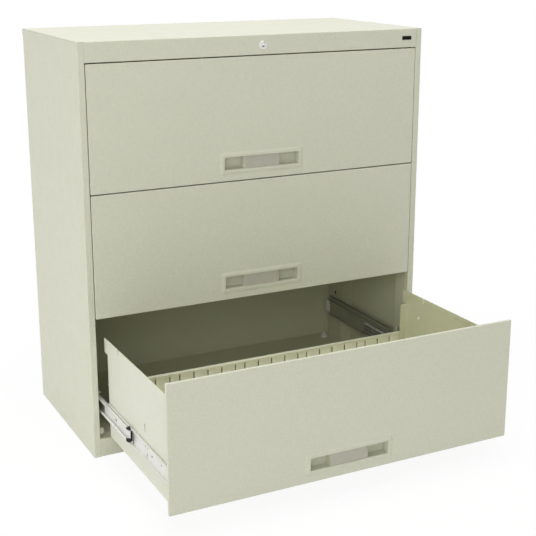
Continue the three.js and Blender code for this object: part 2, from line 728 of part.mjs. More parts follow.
function lockRod() {
  const end = 6;
  const [left, right] = [camPin[0] - end, rodPin[0] + end];
  const middleZ = (camPin[1] + rodPin[1]) / 2;
  const strip = roundedRectangle(right - left, 17, 3, (left + right) / 2, middleZ);
  return cut(
    extrude(strip, 'front', ...LOCK_ROD_Y),
    pinSlot(camPin, [0, CAM_ARM * Math.cos(CAM_SWING / 2) - CAM_ARM], LOCK_ROD_Y),
    pinSlot(rodPin, [0, CRANK.arm - crankRise], LOCK_ROD_Y),
  );
}

function lockCrank() {
  const hub = [CRANK.x, CRANK.z];
  const arms = [rodPin, barPin].map((pin) => extrude(lever(hub, CRANK.hub, pin, 4), 'front', ...CRANK_Y));
  const pins = [
    roundBar(PIN_RADIUS, [LOCK_ROD_Y[0] - 0.5, CRANK_Y[0] + 0.5], ...rodPin, 12),
    roundBar(PIN_RADIUS, [CRANK_Y[1] - 0.5, LOCK_BAR_Y[1] + 1], ...barPin, 12),
  ];
  const bore = roundBar(CRANK.stud + SEAM, [CRANK_Y[0] - 1, CRANK_Y[1] + 1], ...hub);
  return cut(join(...arms, ...pins), bore);
}

function crankBracket() {
  const plate = 2;
  const y = LOCK_BAR_Y[1] + 3;
  const top = CASE_HEIGHT - SHEET - SEAM - plate / 2;
  const outline = bentSheet([[y, CRANK.z - CRANK.hub], [y, top], [y + 14, top]], plate, 1.5);
  const stud = roundBar(CRANK.stud, [LOCK_ROD_Y[1] + 0.4, y], CRANK.x, CRANK.z);
  return join(extrude(outline, 'side', CRANK.x - CRANK.hub, CRANK.x + 5), stud);
}

// Flat bar inside the right front upright, one hook for each drawer and a slotted head.
function lockBar() {
  const [inner, outer] = [UPRIGHT_FACE + 4, UPRIGHT_FACE + 12];
  const headFoot = UPRIGHT_TOP + 6;
  const outline = new THREE.Shape();
  const hooks = DRAWERS.map((drawer) => frontZ(drawer) + HOOK_Z);
  outline.moveTo(outer, hooks[0] - 15);
  outline.lineTo(outer, headFoot);
  outline.lineTo(outer + 1, headFoot);
  outline.lineTo(outer + 1, barPin[1] + 7);
  outline.lineTo(inner - 5, barPin[1] + 7);
  outline.lineTo(inner - 5, headFoot);
  outline.lineTo(inner, headFoot);
  for (const z of hooks.reverse()) {
    outline.lineTo(inner, z + HOOK_HEIGHT);
    outline.lineTo(inner - HOOK_REACH - 1, z + HOOK_HEIGHT);
    outline.lineTo(inner - HOOK_REACH - 1, z);
    outline.lineTo(inner, z);
  }
  outline.lineTo(inner, BOTTOM_FRONT_Z + HOOK_Z - 15);
  const bar = extrude(outline, 'front', ...LOCK_BAR_Y);
  return cut(bar, pinSlot(barPin, [CRANK.arm - crankRise, 0], LOCK_BAR_Y));
}

// Finishes

const finishes = {
  paint: { color: 0xc9c9b6, roughness: 0.5, metalness: 0 },
  zinc: { color: 0xc4c6c8, roughness: 0.35, metalness: 0.9 },
  plating: { color: 0xd2d2d0, roughness: 0.2, metalness: 1 },
  pullPlastic: { color: 0xc4c4b0, roughness: 0.45, metalness: 0 },
  clearPlastic: { color: 0xb4b2ae, roughness: 0.2, metalness: 0 },
  nylon: { color: 0x2a2a2a, roughness: 0.6, metalness: 0 },
  iron: { color: 0x4a4a48, roughness: 0.7, metalness: 0.6 },
};

function addPiece(group, name, geometry, finish) {
  const mesh = new THREE.Mesh(geometry, new THREE.MeshStandardMaterial(finishes[finish]));
  mesh.name = name;
  group.add(mesh);
  return mesh;
}

// Assembly

const cabinet = new THREE.Group();
cabinet.position.set(0, CASE_FRONT_Y, 0);
const sides = { left: -1, right: 1 };

addPiece(cabinet, 'top_panel', topPanel(), 'paint');
addPiece(cabinet, 'back_panel', backPanel(), 'paint');
addPiece(cabinet, 'bottom_panel', bottomPanel(), 'paint');
addPiece(cabinet, 'base_rail', baseRail(), 'paint');
addPiece(cabinet, 'counterweight', ballast(), 'iron');
for (const [hand, side] of Object.entries(sides)) {
  const hookSlots = side > 0 ? DRAWERS.map((drawer) => hookSlot(frontZ(drawer))) : [];
  addPiece(cabinet, `${hand}_side_panel`, sidePanel(side), 'paint');
  addPiece(cabinet, `${hand}_front_upright`, frontUpright(side, hookSlots), 'paint');
  addPiece(cabinet, `${hand}_rear_upright`, rearUpright(side), 'paint');
  for (const [end, y] of Object.entries({ front: 45, rear: 415 })) {
    addPiece(cabinet, `${hand}_${end}_glide`, glide(), 'nylon').position.set(side * 420, y, 0);
  }
}

addPiece(cabinet, 'lock_housing', lockHousing(), 'plating');
addPiece(cabinet, 'lock_plug', lockPlug(), 'plating');
addPiece(cabinet, 'lock_cam', lockCam(), 'zinc');
addPiece(cabinet, 'lock_rod', lockRod(), 'zinc');
addPiece(cabinet, 'lock_crank', lockCrank(), 'zinc');
addPiece(cabinet, 'lock_crank_bracket', crankBracket(), 'zinc');
addPiece(cabinet, 'lock_bar', lockBar(), 'zinc');

for (const drawer of DRAWERS) {
  const travel = drawer === 'bottom' ? DRAWER_TRAVEL : 0;
  const [fixed, halfWay, moving] = [0, travel / 2, travel].map((out) => {
    const group = new THREE.Group();
    group.position.set(0, -out, frontZ(drawer));
    cabinet.add(group);
    return group;
  });
  addPiece(moving, `${drawer}_drawer_front`, drawerFront(), 'paint');
  addPiece(moving, `${drawer}_drawer_pull`, pull(), 'pullPlastic');
  addPiece(moving, `${drawer}_drawer_label_holder`, labelHolder(), 'clearPlastic');
  addPiece(moving, `${drawer}_drawer_pan`, drawerPan(), 'paint');
  addPiece(moving, `${drawer}_drawer_left_side`, drawerSide(-1), 'paint');
  addPiece(moving, `${drawer}_drawer_right_side`, withCatch(drawerSide(1)), 'paint');
  for (const [hand, side] of Object.entries(sides)) {
    addPiece(fixed, `${drawer}_${hand}_cabinet_rail`, cabinetRail(side), 'zinc');
    addPiece(halfWay, `${drawer}_${hand}_intermediate_rail`, intermediateRail(side), 'zinc');
    addPiece(moving, `${drawer}_${hand}_drawer_rail`, drawerRail(side), 'zinc');
  }
}

export default cabinet;
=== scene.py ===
import json
import math

import bmesh
import bpy
from mathutils import Matrix, Vector


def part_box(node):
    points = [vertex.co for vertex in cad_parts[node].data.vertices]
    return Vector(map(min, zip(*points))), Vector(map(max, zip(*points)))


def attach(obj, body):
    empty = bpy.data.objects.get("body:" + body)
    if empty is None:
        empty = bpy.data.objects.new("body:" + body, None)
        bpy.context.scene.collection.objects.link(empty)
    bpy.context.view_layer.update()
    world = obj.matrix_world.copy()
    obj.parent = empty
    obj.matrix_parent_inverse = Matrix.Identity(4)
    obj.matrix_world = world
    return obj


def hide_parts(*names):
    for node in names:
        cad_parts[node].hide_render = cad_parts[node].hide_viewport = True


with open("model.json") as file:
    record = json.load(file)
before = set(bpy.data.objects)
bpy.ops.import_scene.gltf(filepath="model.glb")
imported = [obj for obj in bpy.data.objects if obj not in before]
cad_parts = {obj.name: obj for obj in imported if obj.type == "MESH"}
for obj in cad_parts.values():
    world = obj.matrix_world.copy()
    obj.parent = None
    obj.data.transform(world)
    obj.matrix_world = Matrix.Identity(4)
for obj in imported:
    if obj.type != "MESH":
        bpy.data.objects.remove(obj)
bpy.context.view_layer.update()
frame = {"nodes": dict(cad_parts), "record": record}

nodes = frame["nodes"]
mm = 0.001
drawers = ("top", "middle", "bottom")
hands = {"left": -1, "right": 1}
slides = [(drawer, hand, side) for drawer in drawers for hand, side in hands.items()]
print("frame loaded:", len(nodes), "nodes")


# shader tools: one tree is filled by small calls, so that each effect reads from top to bottom

def feed(tree, value, socket):
    if isinstance(value, bpy.types.NodeSocket):
        tree.links.new(value, socket)
    else:
        socket.default_value = value


def addNode(tree, kind, settings=None, **sockets):
    node = tree.nodes.new(kind)
    for field, value in (settings or {}).items():
        setattr(node, field, value)
    for label, value in sockets.items():
        feed(tree, value, node.inputs[label.replace("_", " ")])
    return node


def newGroup(name, inputs, outputs):
    tree = bpy.data.node_groups.new(name, "ShaderNodeTree")
    for label, value in inputs.items():
        kind = "NodeSocketColor" if isinstance(value, tuple) else "NodeSocketFloat"
        socket = tree.interface.new_socket(label, in_out="INPUT", socket_type=kind)
        socket.default_value = value
    for label, kind in outputs.items():
        tree.interface.new_socket(label, in_out="OUTPUT", socket_type="NodeSocket" + kind)
    return tree, tree.nodes.new("NodeGroupInput").outputs, tree.nodes.new("NodeGroupOutput").inputs


def noiseAt(tree, place, scale, detail=2.0):
    return addNode(tree, "ShaderNodeTexNoise", Vector=place, Scale=scale, Detail=detail).outputs["Fac"]


noiseSpan = {"low": 0.3, "high": 0.7}         # the part of a noise's range that is spread out


def spread(tree, value, low, high):
    node = addNode(tree, "ShaderNodeMapRange", Value=value, From_Min=noiseSpan["low"],
                   From_Max=noiseSpan["high"], To_Min=low, To_Max=high)
    return node.outputs["Result"]


def mixColours(tree, blend, factor, first, second):
    node = addNode(tree, "ShaderNodeMix", {"data_type": "RGBA", "blend_type": blend})
    for index, value in ((0, factor), (6, first), (7, second)):         # its sockets for colours
        feed(tree, value, node.inputs[index])
    return node.outputs[2]


def math2(tree, operation, first, second, clamp=False):
    node = addNode(tree, "ShaderNodeMath", {"operation": operation, "use_clamp": clamp})
    feed(tree, first, node.inputs[0])
    feed(tree, second, node.inputs[1])
    return node.outputs[0]


def vectorMath(tree, operation, first, second):
    node = addNode(tree, "ShaderNodeVectorMath", {"operation": operation})
    feed(tree, first, node.inputs[0])
    feed(tree, second, node.inputs[1])
    return node.outputs["Value" if operation == "DOT_PRODUCT" else "Vector"]


# fine relief laid over folds that are softened by a small radius
def bumpOnFolds(tree, folds, height, strength, depth, samples=4):
    softened = addNode(tree, "ShaderNodeBevel", {"samples": samples}, Radius=folds)
    bump = addNode(tree, "ShaderNodeBump", Height=height, Strength=strength, Distance=depth,
                   Normal=softened.outputs["Normal"])
    return bump.outputs["Normal"]


skinOutputs = {"Colour": "Color", "Roughness": "Float", "Normal": "Vector"}

# edges: how far a spot is from a sharp edge, for paint rubbed thin on corners and a painted highlight along
# the folds
edgeWearAndHighlight = {"radius": 0.7 * mm, "samples": 6, "grain": 220.0, "detail": 4.0, "least": 0.2, "gain": 4.0}


def makeEdgeGroup():
    tree, given, result = newGroup(
        "edgeRubAndHighlight", {"Radius": edgeWearAndHighlight["radius"], "Grain": edgeWearAndHighlight["grain"]}, {"Mask": "Float"})
    rounded = addNode(tree, "ShaderNodeBevel", {"samples": edgeWearAndHighlight["samples"]}, Radius=given["Radius"])
    geometry = tree.nodes.new("ShaderNodeNewGeometry")
    along = vectorMath(tree, "DOT_PRODUCT", rounded.outputs["Normal"], geometry.outputs["Normal"])
    bend = math2(tree, "SUBTRACT", 1.0, along, True)
    strong = math2(tree, "MULTIPLY", bend, edgeWearAndHighlight["gain"], True)
    place = tree.nodes.new("ShaderNodeTexCoord").outputs["Object"]
    broken = spread(tree, noiseAt(tree, place, given["Grain"], edgeWearAndHighlight["detail"]), edgeWearAndHighlight["least"], 1.0)
    feed(tree, math2(tree, "MULTIPLY", strong, broken, True), result["Mask"])
    return tree


def rubbedAndHighlightedEdges(tree, edgeGroup, given, colour):
    rub = addNode(tree, "ShaderNodeGroup", {"node_tree": edgeGroup})
    edge = math2(tree, "MULTIPLY", rub.outputs["Mask"], given["Edge"], True)
    return mixColours(tree, "MIX", edge, colour, given["Edge Colour"])


# baked enamel: faint cloudy tone, fine stipple, orange peel, softened folds and pale edges (partly rubbed
# thin, partly a painted highlight); faces that look into the case can take a darker, more olive colour, a
# painted shade for the dim inside of the case, where Depth is how much front to back counts
enamel = {"caseMiddle": (0.0, 0.22, 0.5), "inward": 0.03, "detail": 3.0, "cloudScale": 4.5,
          "speckleScale": 270.0, "glossScale": 26.0, "peelScale": 420.0, "peelDepth": 0.4 * mm,
          "folds": 0.6 * mm}


def makePaintGroup(edgeGroup):
    tree, given, result = newGroup(
        "bakedEnamel",
        {"Colour": (0.6, 0.6, 0.5, 1.0), "Edge Colour": (0.8, 0.8, 0.7, 1.0), "Edge": 0.3,
         "Inside Colour": (0.6, 0.6, 0.45, 1.0), "Inside": 0.0, "Depth": 1.0, "Cloud": 0.012,
         "Speckle": 0.085, "Peel": 0.1, "Smooth": 0.38, "Rough": 0.5},
        skinOutputs)
    spots = tree.nodes.new("ShaderNodeTexCoord").outputs
    place = spots["Object"]
    weight = addNode(tree, "ShaderNodeCombineXYZ", X=1.0, Y=given["Depth"], Z=1.0).outputs["Vector"]
    outward = vectorMath(tree, "SUBTRACT", place, enamel["caseMiddle"])
    weighed = vectorMath(tree, "MULTIPLY", outward, weight)
    turned = vectorMath(tree, "DOT_PRODUCT", weighed, spots["Normal"])
    # faces turned into the case take the darker colour: painted shade for the dim inside
    inward = math2(tree, "LESS_THAN", turned, enamel["inward"])
    insideShade = math2(tree, "MULTIPLY", inward, given["Inside"])
    coat = mixColours(tree, "MIX", insideShade, given["Colour"], given["Inside Colour"])
    cloudNoise = noiseAt(tree, place, enamel["cloudScale"], enamel["detail"])
    cloud = spread(tree, cloudNoise, math2(tree, "SUBTRACT", 1.0, given["Cloud"]), 1.0)
    speckleNoise = noiseAt(tree, place, enamel["speckleScale"], enamel["detail"])
    speckle = spread(tree, speckleNoise, math2(tree, "SUBTRACT", 1.0, given["Speckle"]), 1.0)
    shaded = mixColours(tree, "MULTIPLY", 1.0, coat, math2(tree, "MULTIPLY", cloud, speckle))
    feed(tree, rubbedAndHighlightedEdges(tree, edgeGroup, given, shaded), result["Colour"])
    glossNoise = noiseAt(tree, place, enamel["glossScale"], enamel["detail"])
    feed(tree, spread(tree, glossNoise, given["Smooth"], given["Rough"]), result["Roughness"])
    peel = noiseAt(tree, place, enamel["peelScale"])
    feed(tree, bumpOnFolds(tree, enamel["folds"], peel, given["Peel"], enamel["peelDepth"]), result["Normal"])
    return tree


# rolled and plated steel: long streaks along Y, patchy gloss, dull spots
rolled = {"stretch": (900.0, 14.0, 900.0), "streakDetail": 3.0, "patchScale": 38.0, "patchDetail": 4.0,
          "leastDull": 0.3, "lineDepth": 0.3 * mm, "folds": 0.4 * mm}


def makeRolledGroup():
    tree, given, result = newGroup(
        "rolledSteel",
        {"Colour": (0.6, 0.6, 0.62, 1.0), "Dull Colour": (0.45, 0.45, 0.47, 1.0), "Streak": 0.5,
         "Smooth": 0.22, "Rough": 0.42, "Depth": 0.08},
        skinOutputs)
    place = tree.nodes.new("ShaderNodeTexCoord").outputs["Object"]
    stretched = addNode(tree, "ShaderNodeMapping", Vector=place, Scale=rolled["stretch"]).outputs["Vector"]
    streak = noiseAt(tree, stretched, 1.0, rolled["streakDetail"])
    patch = noiseAt(tree, place, rolled["patchScale"], rolled["patchDetail"])
    streaked = math2(tree, "MULTIPLY", spread(tree, streak, 0.0, 1.0), given["Streak"], True)
    dull = math2(tree, "MULTIPLY", streaked, spread(tree, patch, rolled["leastDull"], 1.0), True)
    feed(tree, mixColours(tree, "MIX", dull, given["Colour"], given["Dull Colour"]), result["Colour"])
    feed(tree, spread(tree, patch, given["Smooth"], given["Rough"]), result["Roughness"])
    lines = bumpOnFolds(tree, rolled["folds"], streak, given["Depth"], rolled["lineDepth"])
    feed(tree, lines, result["Normal"])
    return tree


# moulded plastic: fine spark-eroded grain and paler edges, partly rubbed and partly a painted highlight
moulded = {"toneScale": 60.0, "darkest": 0.94, "grainDepth": 0.2 * mm, "folds": 0.5 * mm}


def makeMouldedGroup(edgeGroup):
    tree, given, result = newGroup(
        "mouldedGrain",
        {"Colour": (0.5, 0.5, 0.45, 1.0), "Edge Colour": (0.6, 0.6, 0.55, 1.0), "Edge": 0.3,
         "Grain Scale": 1400.0, "Grain": 0.2, "Smooth": 0.4, "Rough": 0.55},
        skinOutputs)
    place = tree.nodes.new("ShaderNodeTexCoord").outputs["Object"]
    grain = noiseAt(tree, place, given["Grain Scale"])
    tone = spread(tree, noiseAt(tree, place, moulded["toneScale"]), moulded["darkest"], 1.0)
    toned = mixColours(tree, "MULTIPLY", 1.0, given["Colour"], tone)
    feed(tree, rubbedAndHighlightedEdges(tree, edgeGroup, given, toned), result["Colour"])
    feed(tree, spread(tree, grain, given["Smooth"], given["Rough"]), result["Roughness"])
    relief = bumpOnFolds(tree, moulded["folds"], grain, given["Grain"], moulded["grainDepth"])
    feed(tree, relief, result["Normal"])
    return tree


edgeRubAndHighlight = makeEdgeGroup()
bakedEnamel = makePaintGroup(edgeRubAndHighlight)
rolledSteel = makeRolledGroup()
mouldedGrain = makeMouldedGroup(edgeRubAndHighlight)
print("shader groups built")


def srgb(red, green, blue):
    def toLinear(value):
        value /= 255
        return value / 12.92 if value <= 0.04045 else ((value + 0.055) / 1.055) ** 2.4
    return (toLinear(red), toLinear(green), toLinear(blue), 1.0)


def newFinish(name, group, values, **shader):
    material = bpy.data.materials.new(name)
    material.use_nodes = True
    tree = material.node_tree
    skin = addNode(tree, "ShaderNodeGroup", {"node_tree": group})
    for label, value in values.items():
        skin.inputs[label].default_value = value
    surface = tree.nodes["Principled BSDF"]
    tree.links.new(skin.outputs["Colour"], surface.inputs["Base Color"])
    tree.links.new(skin.outputs["Roughness"], surface.inputs["Roughness"])
    tree.links.new(skin.outputs["Normal"], surface.inputs["Normal"])
    for label, value in shader.items():
        surface.inputs[label.replace("_", " ")].default_value = value
    return material


# finishes of this cabinet, most colours as they look under plain light; the darker inside, zinc and cage
# colours are painted shade, and the paler pan, bright zinc and front edge colours are painted light
finishLook = {
    "putty": srgb(206, 207, 188),
    "puttyEdge": srgb(226, 227, 212),
    # pale edge colour, mostly a painted highlight along the fronts' folds
    "puttyRubHighlight": srgb(242, 243, 233),
    "puttySides": srgb(213, 214, 198),
    # darker, more olive copy for the drawers' inward faces: painted shade
    "puttySidesShade": srgb(194, 194, 163),
    # paler, yellower copy of the drawer paint: painted light on the pans
    "puttyPanLit": srgb(224, 224, 200),
    # darker, more olive copies of the putty: painted shade inside the case and on the back's inner face
    "puttyInsideShade": srgb(200, 201, 172),
    "puttyBackShade": srgb(193, 194, 165),
    "puttyMoulded": srgb(203, 204, 185),
    "zinc": srgb(224, 223, 217),
    "zincDull": srgb(198, 197, 191),
    # paler copy of the zinc: painted highlight
    "zincLit": srgb(240, 240, 236),
    # darker copies of the zinc: painted shade for slide parts deep in the case
    "zincShaded": srgb(170, 169, 153),
    "zincShadedDull": srgb(140, 137, 124),
    # dark cage colours, partly painted shade
    "cage": srgb(126, 125, 114),
    "cageDull": srgb(92, 91, 83),
    "nickel": srgb(225, 225, 222),
    "nickelDull": srgb(203, 203, 200),
    "iron": srgb(74, 73, 70),
    "ironDull": srgb(52, 51, 49),
    "black": srgb(24, 24, 25),
    "blackEdge": srgb(44, 44, 45),
    "blackDeep": srgb(15, 15, 14),
    "card": srgb(208, 205, 196),
    "cardEdge": srgb(222, 220, 214),
    "cover": srgb(198, 196, 180),
    "coverEdge": srgb(214, 213, 200),
}

# case and back take the darker copies on their inward faces: painted shade
casePaint = newFinish("casePaint", bakedEnamel, {
    "Colour": finishLook["putty"], "Edge Colour": finishLook["puttyEdge"], "Edge": 0.35,
    "Inside Colour": finishLook["puttyInsideShade"], "Inside": 1.0}, Specular_IOR_Level=0.3)
backPaint = newFinish("backPaint", bakedEnamel, {
    "Colour": finishLook["putty"], "Edge Colour": finishLook["puttyEdge"], "Edge": 0.35,
    "Inside Colour": finishLook["puttyBackShade"], "Inside": 1.0}, Specular_IOR_Level=0.3)
# fronts' pale edges: partly rubbed paint, mostly a painted highlight
frontPaint = newFinish("frontPaint", bakedEnamel, {
    "Colour": finishLook["putty"], "Edge Colour": finishLook["puttyRubHighlight"], "Edge": 0.8},
    Specular_IOR_Level=0.3)
# drawer sides' inward faces in the darker copy: painted shade
drawerPaint = newFinish("drawerPaint", bakedEnamel, {
    "Colour": finishLook["puttySides"], "Edge Colour": finishLook["puttyEdge"], "Edge": 0.45, "Cloud": 0.02,
    "Inside Colour": finishLook["puttySidesShade"], "Inside": 1.0, "Depth": 0.0}, Specular_IOR_Level=0.3)
# pans in a paler copy of the drawer paint: painted light
panPaint = newFinish("panPaint", bakedEnamel, {
    "Colour": finishLook["puttyPanLit"], "Edge Colour": finishLook["puttyEdge"], "Edge": 0.3, "Cloud": 0.03},
    Specular_IOR_Level=0.3)
# bottom panel and uprights all over in the darker copy: painted shade for the dim inside
shadedInsidePaint = newFinish("shadedInsidePaint", bakedEnamel, {
    "Colour": finishLook["puttyInsideShade"], "Edge Colour": finishLook["puttyEdge"], "Edge": 0.3, "Cloud": 0.03},
    Specular_IOR_Level=0.3)
pullPlastic = newFinish("pullPlastic", mouldedGrain, {
    "Colour": finishLook["puttyMoulded"], "Edge Colour": finishLook["puttyEdge"], "Edge": 0.1},
    Specular_IOR_Level=0.3)
zincPlate = newFinish("zincPlate", rolledSteel, {
    "Colour": finishLook["zinc"], "Dull Colour": finishLook["zincDull"], "Smooth": 0.32,
    "Rough": 0.5}, Metallic=0.35)
# paler copy of the zinc on beads, hook plates and stop rivets: painted highlight
litZinc = newFinish("litZinc", rolledSteel, {
    "Colour": finishLook["zincLit"], "Dull Colour": finishLook["zinc"], "Smooth": 0.25,
    "Rough": 0.4}, Metallic=0.45)
# darker copy of the zinc for cabinet rails, balls and backing strips: painted shade
shadedZinc = newFinish("shadedZinc", rolledSteel, {
    "Colour": finishLook["zincShaded"], "Dull Colour": finishLook["zincShadedDull"], "Smooth": 0.35,
    "Rough": 0.5}, Metallic=0.5)
# dark cage finish: partly painted shade on the cages, and a painted shadow along the backing strips' rolled
# edges
shadedCage = newFinish("shadedCage", rolledSteel, {
    "Colour": finishLook["cage"], "Dull Colour": finishLook["cageDull"], "Smooth": 0.4,
    "Rough": 0.6}, Metallic=0.4)
nickelPlate = newFinish("nickelPlate", rolledSteel, {
    "Colour": finishLook["nickel"], "Dull Colour": finishLook["nickelDull"], "Streak": 0.2,
    "Smooth": 0.25, "Rough": 0.35}, Metallic=0.5)
# dark finish for the rivet and screws in the slides' holes: painted shade where the holes show dark
shadeDarkScrew = newFinish("shadeDarkScrew", rolledSteel, {
    "Colour": finishLook["zincShadedDull"], "Dull Colour": finishLook["iron"], "Smooth": 0.4,
    "Rough": 0.6}, Metallic=0.5)
blackIron = newFinish("blackIron", rolledSteel, {
    "Colour": finishLook["iron"], "Dull Colour": finishLook["ironDull"], "Smooth": 0.55,
    "Rough": 0.75, "Depth": 0.3}, Metallic=0.6)
blackPlastic = newFinish("blackPlastic", mouldedGrain, {
    "Colour": finishLook["black"], "Edge Colour": finishLook["blackEdge"], "Smooth": 0.4,
    "Rough": 0.55}, Specular_IOR_Level=0.25)
blackEnamel = newFinish("blackEnamel", bakedEnamel, {
    "Colour": finishLook["blackDeep"], "Edge Colour": finishLook["black"], "Smooth": 0.55,
    "Rough": 0.7}, Specular_IOR_Level=0.1)
cardPaper = newFinish("cardPaper", mouldedGrain, {
    "Colour": finishLook["card"], "Edge Colour": finishLook["cardEdge"], "Grain Scale": 700.0,
    "Smooth": 0.75, "Rough": 0.9})
clearCover = newFinish("clearCover", mouldedGrain, {
    "Colour": finishLook["cover"], "Edge Colour": finishLook["coverEdge"], "Smooth": 0.3,
    "Rough": 0.45, "Grain": 0.05}, Alpha=0.7, Specular_IOR_Level=0.3)
print("finishes mixed")

slotFinish = {
    "case_paint": casePaint,
    "front_paint": frontPaint,
    "drawer_paint": drawerPaint,
    "pull_plastic": pullPlastic,
    "label_plastic": clearCover,
    "zinc": zincPlate,
    "lock_plating": nickelPlate,
    "iron": blackIron,
    "glide_plastic": blackPlastic,
}


def nodeFinish(name, slot):
    if name.endswith("cabinet_rail"):
        return shadedZinc                      # darker copy of the zinc: painted shade on the fixed rails inside the case
    # bottom panel, uprights and back in darker copies of the putty: painted shade for the dim inside
    if name == "bottom_panel" or "upright" in name:
        return shadedInsidePaint
    if name == "back_panel":
        return backPaint
    if name.endswith("drawer_pan"):
        return panPaint
    return slotFinish[slot]


for part in frame["record"]["subparts"]:
    materials = nodes[part["node"]].data.materials
    materials.clear()
    materials.append(nodeFinish(part["node"], part["material_slot"]))
print("finishes put on the frame")


# mesh tools

def finishPiece(name, shape, material, body, sharpAngle=35):
    mesh = bpy.data.meshes.new(name)
    bmesh.ops.recalc_face_normals(shape, faces=shape.faces)
    shape.to_mesh(mesh)
    shape.free()
    mesh.materials.append(material)
    for face in mesh.polygons:
        face.use_smooth = True
    mesh.set_sharp_from_angle(angle=math.radians(sharpAngle))
    piece = bpy.data.objects.new(name, mesh)
    bpy.context.scene.collection.objects.link(piece)
    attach(piece, body)
    return piece


# turned form: (radius, height) points spun about an axis that starts at base and points along way
onAxis = 1e-9


def addTurned(shape, profile, base, way, steps):
    turn = Vector(way).to_track_quat("Z", "Y").to_matrix().to_4x4()
    place = Matrix.Translation(base) @ turn
    rings = []
    for radius, height in profile:
        if radius < onAxis:
            rings.append([shape.verts.new(place @ Vector((0, 0, height)))] * steps)
            continue
        ring = []
        for step in range(steps):
            angle = 2 * math.pi * step / steps
            spot = Vector((radius * math.cos(angle), radius * math.sin(angle), height))
            ring.append(shape.verts.new(place @ spot))
        rings.append(ring)
    for lower, upper in zip(rings, rings[1:]):
        for step in range(steps):
            after = (step + 1) % steps
            corners = [lower[step], lower[after], upper[after], upper[step]]
            corners = list(dict.fromkeys(corners))
            if len(corners) > 2:
                shape.faces.new(corners)


# flat form: a closed outline given thickness at a spot, with the rim of its far face rounded
facing = {
    # outline in X, Y, grows to +Z
    "up": Matrix.Identity(4),
    # outline in X, Z, grows to -Y
    "front": Matrix(((1, 0, 0, 0), (0, 0, -1, 0), (0, 1, 0, 0), (0, 0, 0, 1))),
    # outline in Y, Z, grows to +X
    "right": Matrix(((0, 0, 1, 0), (1, 0, 0, 0), (0, 1, 0, 0), (0, 0, 0, 1))),
}
plateRim = {"segments": 2, "profile": 0.5}


def addPlate(shape, outline, thickness, spot, way, rounding=0.0):
    place = Matrix.Translation(spot) @ facing[way]
    lower = [shape.verts.new(place @ Vector((a, b, 0))) for a, b in outline]
    upper = [shape.verts.new(place @ Vector((a, b, thickness))) for a, b in outline]
    shape.faces.new(lower[::-1])
    farFace = shape.faces.new(upper)
    for index in range(len(outline)):
        after = (index + 1) % len(outline)
        shape.faces.new([lower[index], lower[after], upper[after], upper[index]])
    if rounding:
        bmesh.ops.bevel(shape, geom=list(farFace.edges), offset=rounding, affect="EDGES", **plateRim)


def roundedOutline(width, height, radius, steps=5):
    points = []
    for quarter, (sx, sy) in enumerate(((1, 1), (-1, 1), (-1, -1), (1, -1))):
        for step in range(steps + 1):
            angle = math.pi / 2 * (quarter + step / steps)
            points.append((sx * (width / 2 - radius) + radius * math.cos(angle),
                           sy * (height / 2 - radius) + radius * math.sin(angle)))
    return points


# block with soft edges between two corners
blockEdge = {"segments": 2, "profile": 0.6}


def addSoftBlock(shape, low, high, rounding):
    fresh = bmesh.ops.create_cube(shape, size=1.0)["verts"]
    middle = (Vector(low) + Vector(high)) / 2
    size = Vector(high) - Vector(low)
    for vert in fresh:
        vert.co = Vector([middle[i] + vert.co[i] * size[i] for i in range(3)])
    edges = list({edge for vert in fresh for edge in vert.link_edges})
    bmesh.ops.bevel(shape, geom=edges, offset=rounding, affect="EDGES", **blockEdge)


def domeProfile(radius, height, sunk, arcs):
    points = []
    for index in range(arcs + 1):
        angle = math.pi / 2 * index / arcs
        points.append((radius * math.sin(angle), height * math.cos(angle)))
    return points + [(radius, -sunk), (0.0, -sunk)]


def halfTurn(steps):
    return [math.pi * step / steps for step in range(steps + 1)]


def inMillimetres(points):
    return [(a * mm, b * mm) for a, b in points]


# bare plate on the right end of the lock rail
plate = {"x": 411.6 * mm, "z": 977 * mm, "width": 27.5 * mm, "height": 9.6 * mm, "thick": 0.9 * mm,
         "corner": 1.6 * mm, "rounding": 0.3 * mm}
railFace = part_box("top_panel")[0].y
shape = bmesh.new()
addPlate(shape, roundedOutline(plate["width"], plate["height"], plate["corner"]), plate["thick"],
         (plate["x"], railFace, plate["z"]), "front", plate["rounding"])
finishPiece("barePlate", shape, blackEnamel, "case")

# dark plate inside the lock's key slot: painted shade for the slot's dark inside
slotShade = {"width": 5.2 * mm, "height": 2.6 * mm, "drop": 2.6 * mm, "back": 1.2 * mm, "thick": 0.8 * mm,
           "corner": 0.4 * mm, "cornerSteps": 2, "rounding": 0.15 * mm}
low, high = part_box("lock_plug")
middle = (low + high) / 2
outline = roundedOutline(slotShade["width"], slotShade["height"], slotShade["corner"], slotShade["cornerSteps"])
spot = (middle.x, low.y + slotShade["back"] + slotShade["thick"], middle.z - slotShade["drop"])
shape = bmesh.new()
addPlate(shape, outline, slotShade["thick"], spot, "front", slotShade["rounding"])
finishPiece("keySlotShade", shape, blackIron, "lock_plug")

